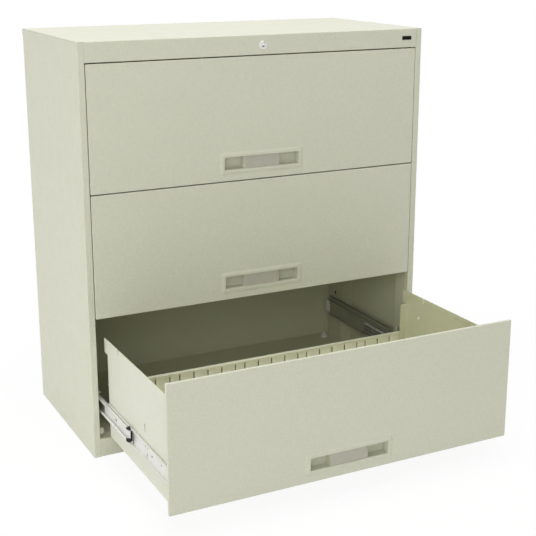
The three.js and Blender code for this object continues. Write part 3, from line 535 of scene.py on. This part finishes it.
# welds ground flush, where the stiles' round edges meet the lock rail and the base rail
seam = {"stile": 16.5 * mm, "radius": 1.7 * mm, "gap": 0.25 * mm, "sunk": 0.03 * mm, "steps": 6}
caseLow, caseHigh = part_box("right_side_panel")
stileEdge = caseHigh.x - seam["stile"]
for hand, side in hands.items():
    outline = [(side * (stileEdge - seam["gap"]), railFace + seam["radius"]),
               (side * (stileEdge - seam["gap"]), railFace + seam["sunk"])]
    for step in range(seam["steps"] + 1):
        angle = -math.pi / 2 * (1 + step / seam["steps"])
        outline.append((side * (stileEdge + seam["radius"] * (1 + math.cos(angle))),
                        railFace + seam["sunk"] + seam["radius"] * (1 + math.sin(angle))))
    shape = bmesh.new()
    for name in ("top_panel", "base_rail"):
        low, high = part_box(name)
        foot = max(low.z, caseLow.z)
        addPlate(shape, outline, min(high.z, caseHigh.z) - foot, (0, 0, foot), "up")
    finishPiece(f"seamFill.{hand}", shape, casePaint, "case")

# lugs welded to the stiles' returns, behind the bottom drawer's front
lug = {"reach": 11.5 * mm, "lap": 0.6 * mm, "back": 10 * mm, "thick": 1 * mm, "foot": 56 * mm,
       "height": 16 * mm, "corner": 1.5 * mm, "rounding": 0.2 * mm}
for hand, side in hands.items():
    middle = side * (stileEdge - (lug["reach"] - lug["lap"]) / 2)
    outline = roundedOutline(lug["reach"] + lug["lap"], lug["height"], lug["corner"])
    spot = (middle, railFace + lug["back"] + lug["thick"], lug["foot"] + lug["height"] / 2)
    shape = bmesh.new()
    addPlate(shape, outline, lug["thick"], spot, "front", lug["rounding"])
    finishPiece(f"weldLug.{hand}", shape, casePaint, "case")

# black plugs in the rear uprights' long holes; ends rounded by a share of the width
plug = {"face": 450 * mm, "back": 398 * mm, "first": 180 * mm, "pitch": 150 * mm, "count": 5,
        "width": 6.4 * mm, "height": 11 * mm, "proud": 0.3 * mm, "thick": 1.2 * mm, "endShare": 0.49}
for hand, side in hands.items():
    shape = bmesh.new()
    outline = roundedOutline(plug["width"], plug["height"], plug["width"] * plug["endShare"])
    for index in range(plug["count"]):
        spot = (side * (plug["face"] - plug["proud"]) - (plug["thick"] if side < 0 else 0.0),
                railFace + plug["back"], plug["first"] + index * plug["pitch"])
        addPlate(shape, outline, plug["thick"], spot, "right")
    finishPiece(f"holePlugs.{hand}", shape, blackPlastic, "case")

# label cards behind the covers, bowed a little towards the cover
card = {"width": 70 * mm, "height": 29 * mm, "thick": 0.35 * mm, "bow": 0.35 * mm, "cover": 1.6 * mm,
        "behind": 0.5 * mm, "shift": 8 * mm, "steps": 12}
for drawer in drawers:
    low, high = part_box(f"{drawer}_drawer_label_holder")
    middle = (low + high) / 2
    outline = []
    for step in range(card["steps"] + 1):
        along = step / card["steps"] - 0.5
        outline.append((along * card["width"] + card["shift"], card["bow"] * (2 * along) ** 2))
    outline += [(a, b + card["thick"]) for a, b in outline[::-1]]
    spot = (middle.x, low.y + card["cover"] + card["behind"], middle.z - card["height"] / 2)
    shape = bmesh.new()
    addPlate(shape, outline, card["height"], spot, "up")
    finishPiece(f"labelCard.{drawer}", shape, cardPaper, f"{drawer}_drawer")
print("plate, welds, plugs and cards placed")

# feathered rim round each pull's frame, thinning out to the front's face
feather = {"reach": 5 * mm, "lap": 0.3 * mm, "under": 0.12 * mm, "proud": 0.02 * mm, "sunk": 0.06 * mm,
           "corner": 3 * mm, "sharpAngle": 60}


def addFeather(shape, low, high, face):
    middle = (low + high) / 2
    size = high - low
    inset = -feather["lap"]
    rings = []
    for grow, depth in ((inset, low.y + feather["under"]), (feather["reach"], face - feather["proud"]),
                        (feather["reach"], face + feather["sunk"]), (inset, face + feather["sunk"])):
        points = roundedOutline(size.x + 2 * grow, size.z + 2 * grow, feather["corner"] + grow)
        rings.append([shape.verts.new((middle.x + a, depth, middle.z + b)) for a, b in points])
    for ring, following in zip(rings, rings[1:] + rings[:1]):
        for index in range(len(ring)):
            after = (index + 1) % len(ring)
            shape.faces.new([ring[index], ring[after], following[after], following[index]])


for drawer in drawers:
    low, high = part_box(f"{drawer}_drawer_pull")
    shape = bmesh.new()
    addFeather(shape, low, high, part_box(f"{drawer}_drawer_front")[0].y)
    finishPiece(f"pullRim.{drawer}", shape, pullPlastic, f"{drawer}_drawer",
                feather["sharpAngle"])
print("pull rims feathered")

# bottom pans, the slits in their rear walls opened wider; places along X from the middle of the case
slit = {"first": -240 * mm, "pitch": 38 * mm, "perGroup": 5, "groups": (-1, 0, 1, 2, 3),
        "groupPitch": 178 * mm, "narrow": 1 * mm, "wide": 1.7 * mm, "slack": 0.1 * mm, "wall": 12 * mm,
        "joinBelow": 0.001 * mm}
slitPlaces = [slit["first"] + group * slit["groupPitch"] + index * slit["pitch"]
              for group in slit["groups"] for index in range(slit["perGroup"])]
for drawer in drawers:
    name = f"{drawer}_drawer_pan"
    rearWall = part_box(name)[1].y - slit["wall"]
    shape = bmesh.new()
    shape.from_mesh(nodes[name].data)
    bmesh.ops.remove_doubles(shape, verts=shape.verts, dist=slit["joinBelow"])
    for vert in shape.verts:
        place = min(slitPlaces, key=lambda x: abs(vert.co.x - x))
        across = vert.co.x - place
        if vert.co.y > rearWall and abs(abs(across) - slit["narrow"]) < slit["slack"]:
            vert.co.x = place + math.copysign(slit["wide"], across)
    pan = finishPiece(f"slottedPan.{drawer}", shape, panPaint, f"{drawer}_drawer")
    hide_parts(name)
print("pans slotted")


# slides: what runs between the rolled rails and what holds them; inner is a rail's edge towards the middle
# of the case, level the height of its middle

def railPlace(drawer, hand, member):
    low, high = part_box(f"{drawer}_{hand}_{member}_rail")
    inner = min(abs(low.x), abs(high.x))
    level = (low.z + high.z) / 2
    return low, high, inner, level


# moulded clip on the front end of each intermediate rail: a bar down the web, a cap and a foot that slant
# back over the flanges, a fin between the lips; plans are (outwards from the rail's inner edge, back from
# its front end), all in millimetres
clip = {
    "bar": {"plan": ((3.2, -1.2), (5.2, -1.2), (5.4, 2.8), (3.2, 3.2)), "foot": -8.2, "top": 14.2},
    "nose": {"plan": ((2.4, -1.2), (5.8, -1.2), (5.8, -0.1), (2.4, -0.1)), "foot": -8.2, "top": 17.2},
    "cap": {"plan": ((3.9, 3.6), (6.6, 5.0), (10.5, 12.0), (10.5, 17.6), (6.6, 14.6), (3.9, 9.5)),
            "foot": 16.15, "top": 20.6},
    "fin": {"plan": ((4.0, 5.0), (6.6, 6.5), (6.6, 12.0), (4.0, 9.5)), "foot": 19.8, "top": 24.6},
    "sole": {"plan": ((3.3, 5.5), (7.0, 8.5), (11.3, 12.5), (11.3, 17.6), (6.5, 14.5), (3.3, 12.0)),
             "foot": -13.6, "top": -6.6},
}
clipRounding = 0.4 * mm
for drawer, hand, side in slides:
    low, high, inner, level = railPlace(drawer, hand, "intermediate")
    shape = bmesh.new()
    for form in clip.values():
        outline = [(side * out, back) for out, back in inMillimetres(form["plan"])]
        spot = (side * inner, low.y, level + form["foot"] * mm)
        addPlate(shape, outline, (form["top"] - form["foot"]) * mm, spot, "up", clipRounding)
    body = f"{drawer}_{hand}_intermediate"
    finishPiece(f"endClip.{drawer}.{hand}", shape, blackPlastic, body)
print("slide clips placed")

# rolled beads along both flanges of each intermediate rail; out from its inner edge, up from its middle
bead = {"upper": {"out": 5.9 * mm, "up": 16 * mm, "radius": 1.3 * mm},
        "lower": {"out": 7.0 * mm, "up": -14.4 * mm, "radius": 2.0 * mm},
        "front": 18 * mm, "rear": 2 * mm, "sunk": 0.2 * mm, "steps": 10}
for drawer, hand, side in slides:
    low, high, inner, level = railPlace(drawer, hand, "intermediate")
    length = high.y - low.y - bead["front"] - bead["rear"]
    shape = bmesh.new()
    for line in (bead["upper"], bead["lower"]):
        radius = line["radius"]
        outline = [(radius, -bead["sunk"])]
        outline += [(radius * math.cos(angle), radius * math.sin(angle)) for angle in halfTurn(bead["steps"])]
        outline.append((-radius, -bead["sunk"]))
        spot = (side * (inner + line["out"]), high.y - bead["rear"], level + line["up"])
        addPlate(shape, outline, length, spot, "front")
    body = f"{drawer}_{hand}_intermediate"
    finishPiece(f"railBeads.{drawer}.{hand}", shape, litZinc, body)
print("rail beads rolled")

# balls in their cages, between the flanges and the lips of the two channels: small ones on the drawer's side
# at the front half of a rail, large ones on the case's side at its rear half; a cage's edges are softened by
# a share of its thickness
ball = {"pitch": 13 * mm, "count": 11, "inset": 24 * mm, "rings": 6, "steps": 10, "cageSoft": 0.25,
        "drawer": {"radius": 0.72 * mm, "gap": 0.82 * mm, "row": 1.7 * mm, "cageThick": 0.5 * mm,
                   "cageReach": 1.4 * mm},
        "cabinet": {"radius": 2.2 * mm, "gap": 2.35 * mm, "row": 8.7 * mm, "cageThick": 0.8 * mm,
                    "cageReach": 2.4 * mm}}
# the cage's plate along the web, dark: partly a painted shade where the web runs into the case
cageWeb = {"face": 3.15 * mm, "thick": 0.8 * mm, "front": 188 * mm, "rear": 18 * mm, "height": 25 * mm,
           "corner": 3 * mm}
# flat retainer with two rows of balls on the web's drawer side, near the rear end
retainer = {"web": 1.5 * mm, "thick": 0.7 * mm, "front": 92 * mm, "rear": 0.6 * mm, "reach": 14.2 * mm,
            "corner": 1 * mm, "rise": 6 * mm, "pitch": 9.5 * mm, "count": 9, "radius": 2.6 * mm,
            "height": 1.2 * mm, "sunk": 0.2 * mm, "arcs": 4}
ballDome = domeProfile(retainer["radius"], retainer["height"], retainer["sunk"], retainer["arcs"])
run = (ball["count"] - 1) * ball["pitch"]
for drawer, hand, side in slides:
    low, high, inner, level = railPlace(drawer, hand, "intermediate")
    balls = bmesh.new()
    cages = bmesh.new()
    for member, start in (("drawer", low.y + ball["inset"]), ("cabinet", high.y - ball["inset"] - run)):
        kind = ball[member]
        profile = [(kind["radius"] * math.sin(angle), -kind["radius"] * math.cos(angle))
                   for angle in halfTurn(ball["rings"])]
        row = side * (inner + kind["row"])
        for z in (high.z + kind["gap"], low.z - kind["gap"]):
            for index in range(ball["count"]):
                spot = (row, start + index * ball["pitch"], z)
                addTurned(balls, profile, spot, (0, 0, 1), ball["steps"])
            reach = Vector((kind["cageReach"], run / 2 + ball["pitch"] / 2, kind["cageThick"] / 2))
            middle = Vector((row, start + run / 2, z))
            addSoftBlock(cages, middle - reach, middle + reach, kind["cageThick"] * ball["cageSoft"])
    face = side * (inner + cageWeb["face"]) - (cageWeb["thick"] if side < 0 else 0.0)
    front, rear = low.y + cageWeb["front"], high.y - cageWeb["rear"]
    outline = roundedOutline(rear - front, cageWeb["height"], cageWeb["corner"])
    addPlate(cages, outline, cageWeb["thick"], (face, (front + rear) / 2, level), "right")
    face = side * (inner + retainer["web"] - (retainer["thick"] if side > 0 else 0.0))
    middle = high.y - (retainer["front"] + retainer["rear"]) / 2
    length = retainer["front"] - retainer["rear"]
    outline = roundedOutline(length, 2 * retainer["reach"], retainer["corner"])
    addPlate(cages, outline, retainer["thick"], (face, middle, level), "right")
    top = side * (inner + retainer["web"] - retainer["thick"])
    for index in range(retainer["count"]):
        along = middle + (index - (retainer["count"] - 1) / 2) * retainer["pitch"]
        for rise in (-retainer["rise"], retainer["rise"]):
            addTurned(balls, ballDome, (top, along, level + rise), (-side, 0, 0), ball["steps"])
    body = f"{drawer}_{hand}_intermediate"
    finishPiece(f"ballRows.{drawer}.{hand}", balls, shadedZinc, body)
    finishPiece(f"ballCages.{drawer}.{hand}", cages, shadedCage, body)
print("balls and cages placed")

# domed rivets on the drawer sides, and hook plates with two of them at the rear of the cabinet rails
rivet = {"radius": 3.6 * mm, "height": 1.4 * mm, "steps": 14, "sunk": 0.3 * mm, "arcs": 4}
sideRivets = {"along": (40 * mm, 200 * mm, 360 * mm), "wall": 1.3 * mm}
hookPlate = {"face": 440.1 * mm, "front": 413.6 * mm, "rear": 439.2 * mm, "height": 36 * mm, "thick": 1 * mm,
             "corner": 5 * mm, "rise": 11 * mm}
dome = domeProfile(rivet["radius"], rivet["height"], rivet["sunk"], rivet["arcs"])
for drawer, hand, side in slides:
    low, high, inner, level = railPlace(drawer, hand, "drawer")
    wall = side * (inner - sideRivets["wall"])
    shape = bmesh.new()
    for along in sideRivets["along"]:
        addTurned(shape, dome, (wall, low.y + along, level), (-side, 0, 0), rivet["steps"])
    finishPiece(f"railRivets.{drawer}.{hand}", shape, zincPlate, f"{drawer}_drawer")
    low, high, inner, level = railPlace(drawer, hand, "cabinet")
    middle = railFace + (hookPlate["front"] + hookPlate["rear"]) / 2
    length = hookPlate["rear"] - hookPlate["front"]
    outline = roundedOutline(length, hookPlate["height"], hookPlate["corner"])
    face = side * hookPlate["face"] - (hookPlate["thick"] if side > 0 else 0.0)
    shape = bmesh.new()
    addPlate(shape, outline, hookPlate["thick"], (face, middle, level), "right")
    for rise in (-hookPlate["rise"], hookPlate["rise"]):
        spot = (side * (hookPlate["face"] - hookPlate["thick"]), middle, level + rise)
        addTurned(shape, dome, spot, (-side, 0, 0), rivet["steps"])
    finishPiece(f"hookPlate.{drawer}.{hand}", shape, litZinc, "case")

# flat rivet that fills the front hole of each intermediate rail's web, dark as a painted shade for the hole;
# head in millimetres
webRivet = {"back": 107.1 * mm, "inner": 1.7 * mm,
            "head": ((0.0, 0.0), (4.3, 0.0), (4.3, 1.0), (3.6, 1.25), (1.6, 1.25), (1.3, 0.9), (0.0, 0.9))}
webHead = inMillimetres(webRivet["head"])
for drawer, hand, side in slides:
    low, high, inner, level = railPlace(drawer, hand, "intermediate")
    spot = (side * (inner + webRivet["inner"]), low.y + webRivet["back"], level)
    shape = bmesh.new()
    addTurned(shape, webHead, spot, (side, 0, 0), rivet["steps"])
    finishPiece(f"webRivet.{drawer}.{hand}", shape, shadeDarkScrew, f"{drawer}_{hand}_intermediate")

# bent tongue on the front end of each cabinet rail, over the slide
tongue = {"inner": 427.4 * mm, "outer": 436 * mm, "thick": 1.1 * mm, "rise": 6.4 * mm, "sunk": 0.2 * mm,
          "front": 0.3 * mm, "length": 10 * mm}
for drawer, hand, side in slides:
    low, high, inner, level = railPlace(drawer, hand, "cabinet")
    outer, thick, rise = tongue["outer"], tongue["thick"], tongue["rise"]
    outline = [(side * outer, -tongue["sunk"]), (side * outer, rise), (side * tongue["inner"], rise),
               (side * tongue["inner"], rise - thick), (side * (outer - thick), rise - thick),
               (side * (outer - thick), -tongue["sunk"])]
    spot = (0.0, low.y + tongue["front"] + tongue["length"], high.z)
    shape = bmesh.new()
    addPlate(shape, outline, tongue["length"], spot, "front")
    finishPiece(f"railTongue.{drawer}.{hand}", shape, zincPlate, "case")

# steel screws in the drawer rails' holes, dark as a painted shade for the holes, (back from the rail's front
# end, up from its middle); spots and head in millimetres
railScrew = {"spots": ((55, 4.5), (111, 0.7), (136, 8.4), (138, -8.0), (150, 8.4), (322, 0.0)),
             "sheet": 0.3 * mm,
             "head": ((0.0, 1.3), (0.7, 1.3), (0.8, 1.75), (1.5, 1.65), (1.95, 1.2), (1.95, -0.1),
                      (0.0, -0.1))}
screwHead = inMillimetres(railScrew["head"])
for drawer, hand, side in slides:
    low, high, inner, level = railPlace(drawer, hand, "drawer")
    wall = side * (inner - railScrew["sheet"])
    shape = bmesh.new()
    for back, rise in inMillimetres(railScrew["spots"]):
        addTurned(shape, screwHead, (wall, low.y + back, level + rise), (side, 0, 0), rivet["steps"])
    finishPiece(f"railScrews.{drawer}.{hand}", shape, shadeDarkScrew, f"{drawer}_drawer")
print("rails riveted and screwed")

# backing strips that stand above the cabinet rails, their upper edges rolled over; the roll ends, and a
# painted shadow along it begins, at a share of its radius below the strip's top
backing = {"face": 440.2 * mm, "thick": 1.3 * mm, "front": 78 * mm, "rear": 411 * mm, "foot": 20 * mm,
           "top": 35 * mm, "roll": 2.4 * mm, "steps": 8, "rollEnd": 0.6, "shadowEnd": 0.7}
for drawer, hand, side in slides:
    low, high, inner, level = railPlace(drawer, hand, "cabinet")
    face, back = side * backing["face"], backing["face"] + backing["thick"]
    outline = [(side * back, backing["foot"]), (side * back, backing["top"])]
    for angle in halfTurn(backing["steps"]):
        outline.append((side * (back - backing["roll"] * (1 - math.cos(angle))),
                        backing["top"] + backing["roll"] * math.sin(angle)))
    outline.append((face, backing["top"] - backing["roll"] * backing["rollEnd"]))
    outline.append((face, backing["foot"]))
    shape = bmesh.new()
    spot = (0.0, railFace + backing["rear"], level)
    addPlate(shape, outline, backing["rear"] - backing["front"], spot, "front")
    strip = finishPiece(f"railBacking.{drawer}.{hand}", shape, shadedZinc, "case").data
    strip.materials.append(shadedCage)         # painted shadow along the rolled edge, in the dark cage finish
    shadowFrom = level + backing["top"] - backing["roll"] * backing["shadowEnd"]
    for flat in strip.polygons:
        if min(strip.vertices[index].co.z for index in flat.vertices) > shadowFrom:
            flat.material_index = 1
print("backing strips placed")

# spot welds that show through the back, shallow rings along its edges; ring in millimetres
weld = {"sideInset": 11 * mm, "endInset": 13 * mm, "columns": 9, "rows": 11,
        "ring": ((0.0, 0.03), (1.5, 0.05), (2.2, 0.22), (2.9, 0.16), (3.4, -0.05), (0.0, -0.05))}
weldRing = inMillimetres(weld["ring"])
low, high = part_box("back_panel")
left, right = low.x + weld["sideInset"], high.x - weld["sideInset"]
foot, head = low.z + weld["endInset"], high.z - weld["endInset"]
weldSpots = []
for index in range(weld["rows"]):
    weldSpots += [(x, foot + (head - foot) * index / (weld["rows"] - 1)) for x in (left, right)]
for index in range(1, weld["columns"] - 1):
    weldSpots += [(left + (right - left) * index / (weld["columns"] - 1), z) for z in (foot, head)]
shape = bmesh.new()
for x, z in weldSpots:
    addTurned(shape, weldRing, (x, high.y, z), (0, 1, 0), rivet["steps"])
finishPiece("backWelds", shape, casePaint, "case")

# stop rivets near the rear of the drawer sides
stopRivet = {"back": 75 * mm, "up": 183.6 * mm}
for drawer, hand, side in slides:
    inner = railPlace(drawer, hand, "drawer")[2]
    low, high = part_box(f"{drawer}_drawer_{hand}_side")
    spot = (side * (inner - sideRivets["wall"]), high.y - stopRivet["back"], low.z + stopRivet["up"])
    shape = bmesh.new()
    addTurned(shape, dome, spot, (-side, 0, 0), rivet["steps"])
    finishPiece(f"stopRivet.{drawer}.{hand}", shape, litZinc, f"{drawer}_drawer")

# threaded studs of the glides, with washer and nut on the bottom panel; the washer's rim is chamfered by a
# share of its thickness
stud = {"top": 37 * mm, "washer": 11 * mm, "washerThick": 1.2 * mm, "chamfer": 0.3, "nut": 9.4 * mm,
        "nutSides": 6, "nutHeight": 6.5 * mm, "nutRounding": 0.6 * mm, "radius": 4.8 * mm, "root": 4.2 * mm,
        "pitch": 1.5 * mm, "turns": 9, "sunk": 0.3 * mm, "steps": 24}
thick, chamfer = stud["washerThick"], stud["washerThick"] * stud["chamfer"]
washer = [(0.0, -stud["sunk"]), (stud["washer"], -stud["sunk"]), (stud["washer"], thick - chamfer),
          (stud["washer"] - chamfer, thick), (0.0, thick)]
nutAngles = [2 * math.pi * step / stud["nutSides"] for step in range(stud["nutSides"])]
nut = [(stud["nut"] * math.cos(angle), stud["nut"] * math.sin(angle)) for angle in nutAngles]
thread = [(0.0, 0.0)]
for turn in range(stud["turns"]):
    thread.append((stud["root"], turn * stud["pitch"]))
    thread.append((stud["radius"], (turn + 0.5) * stud["pitch"]))
thread.append((stud["root"], stud["turns"] * stud["pitch"]))
thread.append((0.0, stud["turns"] * stud["pitch"]))
shape = bmesh.new()
for hand in hands:
    for end in ("front", "rear"):
        low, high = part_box(f"{hand}_{end}_glide")
        middle = (low + high) / 2
        spot = (middle.x, middle.y, stud["top"])
        addTurned(shape, washer, spot, (0, 0, 1), stud["steps"])
        nutSpot = (middle.x, middle.y, stud["top"] + thick)
        addPlate(shape, nut, stud["nutHeight"], nutSpot, "up", stud["nutRounding"])
        addTurned(shape, thread, spot, (0, 0, 1), stud["steps"])
finishPiece("glideStuds", shape, zincPlate, "case")
print("spot welds, stop rivets and studs placed")

# floor and air: both show white to the camera and in reflections, the floor with the cabinet's shadow on it;
# the air lights the front less than the rear
stage = {"floor": 40.0, "cells": 8, "drop": 0.2 * mm, "floorColour": srgb(236, 236, 234),
         "floorRough": 0.9, "floorSpecular": 0.1, "toneScale": 2.0, "darkest": 0.985, "glow": 0.92,
         "nearRadius": 0.75, "farRadius": 1.6, "frontAir": 0.15, "rearAir": 0.5, "frontEnd": -0.2,
         "rearEnd": 0.4}


def seenRays(tree):
    rays = tree.nodes.new("ShaderNodeLightPath").outputs
    seen = math2(tree, "MAXIMUM", rays["Is Camera Ray"], rays["Is Glossy Ray"])
    return math2(tree, "MAXIMUM", seen, rays["Is Transmission Ray"])


def makeFloorFinish():
    material = bpy.data.materials.new("studioFloor")
    material.use_nodes = True
    tree = material.node_tree
    surface = tree.nodes["Principled BSDF"]
    place = tree.nodes.new("ShaderNodeTexCoord").outputs["Object"]
    tone = spread(tree, noiseAt(tree, place, stage["toneScale"]), stage["darkest"], 1.0)
    toned = mixColours(tree, "MULTIPLY", 1.0, stage["floorColour"], tone)
    tree.links.new(toned, surface.inputs["Base Color"])
    surface.inputs["Roughness"].default_value = stage["floorRough"]
    surface.inputs["Specular IOR Level"].default_value = stage["floorSpecular"]
    away = addNode(tree, "ShaderNodeVectorMath", {"operation": "LENGTH"})
    tree.links.new(place, away.inputs[0])
    fade = addNode(tree, "ShaderNodeMapRange", {"interpolation_type": "SMOOTHSTEP"},
                   Value=away.outputs["Value"], From_Min=stage["nearRadius"], From_Max=stage["farRadius"],
                   To_Min=stage["glow"], To_Max=1.0)
    glow = addNode(tree, "ShaderNodeEmission", Strength=1.0)
    mix = tree.nodes.new("ShaderNodeMixShader")
    tree.links.new(math2(tree, "MULTIPLY", seenRays(tree), fade.outputs["Result"]), mix.inputs[0])
    tree.links.new(surface.outputs[0], mix.inputs[1])
    tree.links.new(glow.outputs[0], mix.inputs[2])
    tree.links.new(mix.outputs[0], tree.nodes["Material Output"].inputs["Surface"])
    return material


shape = bmesh.new()
bmesh.ops.create_grid(shape, x_segments=stage["cells"], y_segments=stage["cells"], size=stage["floor"] / 2)
mesh = bpy.data.meshes.new("studioFloor")
shape.to_mesh(mesh)
shape.free()
mesh.materials.append(makeFloorFinish())
floor = bpy.data.objects.new("studioFloor", mesh)
floor.location.z = -stage["drop"]
bpy.context.scene.collection.objects.link(floor)

world = bpy.data.worlds.new("studioAir")
bpy.context.scene.world = world
world.use_nodes = True
tree = world.node_tree
skyPlace = tree.nodes.new("ShaderNodeTexCoord").outputs["Generated"]
toward = addNode(tree, "ShaderNodeSeparateXYZ", Vector=skyPlace)
fill = addNode(tree, "ShaderNodeMapRange", Value=toward.outputs["Y"], From_Min=stage["frontEnd"],
               From_Max=stage["rearEnd"], To_Min=stage["frontAir"], To_Max=stage["rearAir"])
strength = addNode(tree, "ShaderNodeMapRange", Value=seenRays(tree), To_Min=fill.outputs["Result"],
                   To_Max=1.0)
air = tree.nodes["Background"]
air.inputs["Color"].default_value = (1.0, 1.0, 1.0, 1.0)
tree.links.new(strength.outputs["Result"], air.inputs["Strength"])

# soft boxes far enough away for even light: overhead, on the left, behind the camera
softBoxes = {
    "overhead": {"place": (-0.5, -0.5, 7.0), "aim": (0.0, 0.0, 0.5), "size": 4.0, "power": 360.0},
    "farLeft": {"place": (-7.5, -1.5, 2.0), "aim": (0.0, 0.0, 0.5), "size": 4.0, "power": 165.0},
    "behindCamera": {"place": (-3.2, -6.3, 3.2), "aim": (0.0, 0.0, 0.5), "size": 4.0, "power": 205.0},
}
for name, box in softBoxes.items():
    lamp = bpy.data.lights.new(name, "AREA")
    lamp.size = box["size"]
    lamp.energy = box["power"]
    holder = bpy.data.objects.new(name, lamp)
    holder.location = box["place"]
    holder.rotation_euler = (Vector(box["aim"]) - Vector(box["place"])).to_track_quat("-Z", "Y").to_euler()
    bpy.context.scene.collection.objects.link(holder)
print("stage lit")

# camera at the photograph's place; focus, image and axisRow in the photograph's pixels
view = {"place": (-1.20587, -2.40525, 1.21344), "turn": 26.978, "tilt": 15.291, "focus": 1113.84,
        "image": 536, "axisRow": 246.03, "sensor": 36.0}
lens = bpy.data.cameras.new("photoView")
lens.sensor_width = view["sensor"]
lens.lens = view["focus"] / view["image"] * view["sensor"]
lens.shift_y = (view["axisRow"] - view["image"] / 2) / view["image"]
camera = bpy.data.objects.new("photoView", lens)
camera.location = view["place"]
camera.rotation_euler = (math.radians(90 - view["tilt"]), 0.0, math.radians(-view["turn"]))
bpy.context.scene.collection.objects.link(camera)
bpy.context.scene.camera = camera
bpy.context.scene.view_settings.view_transform = "Standard"
print("camera set")
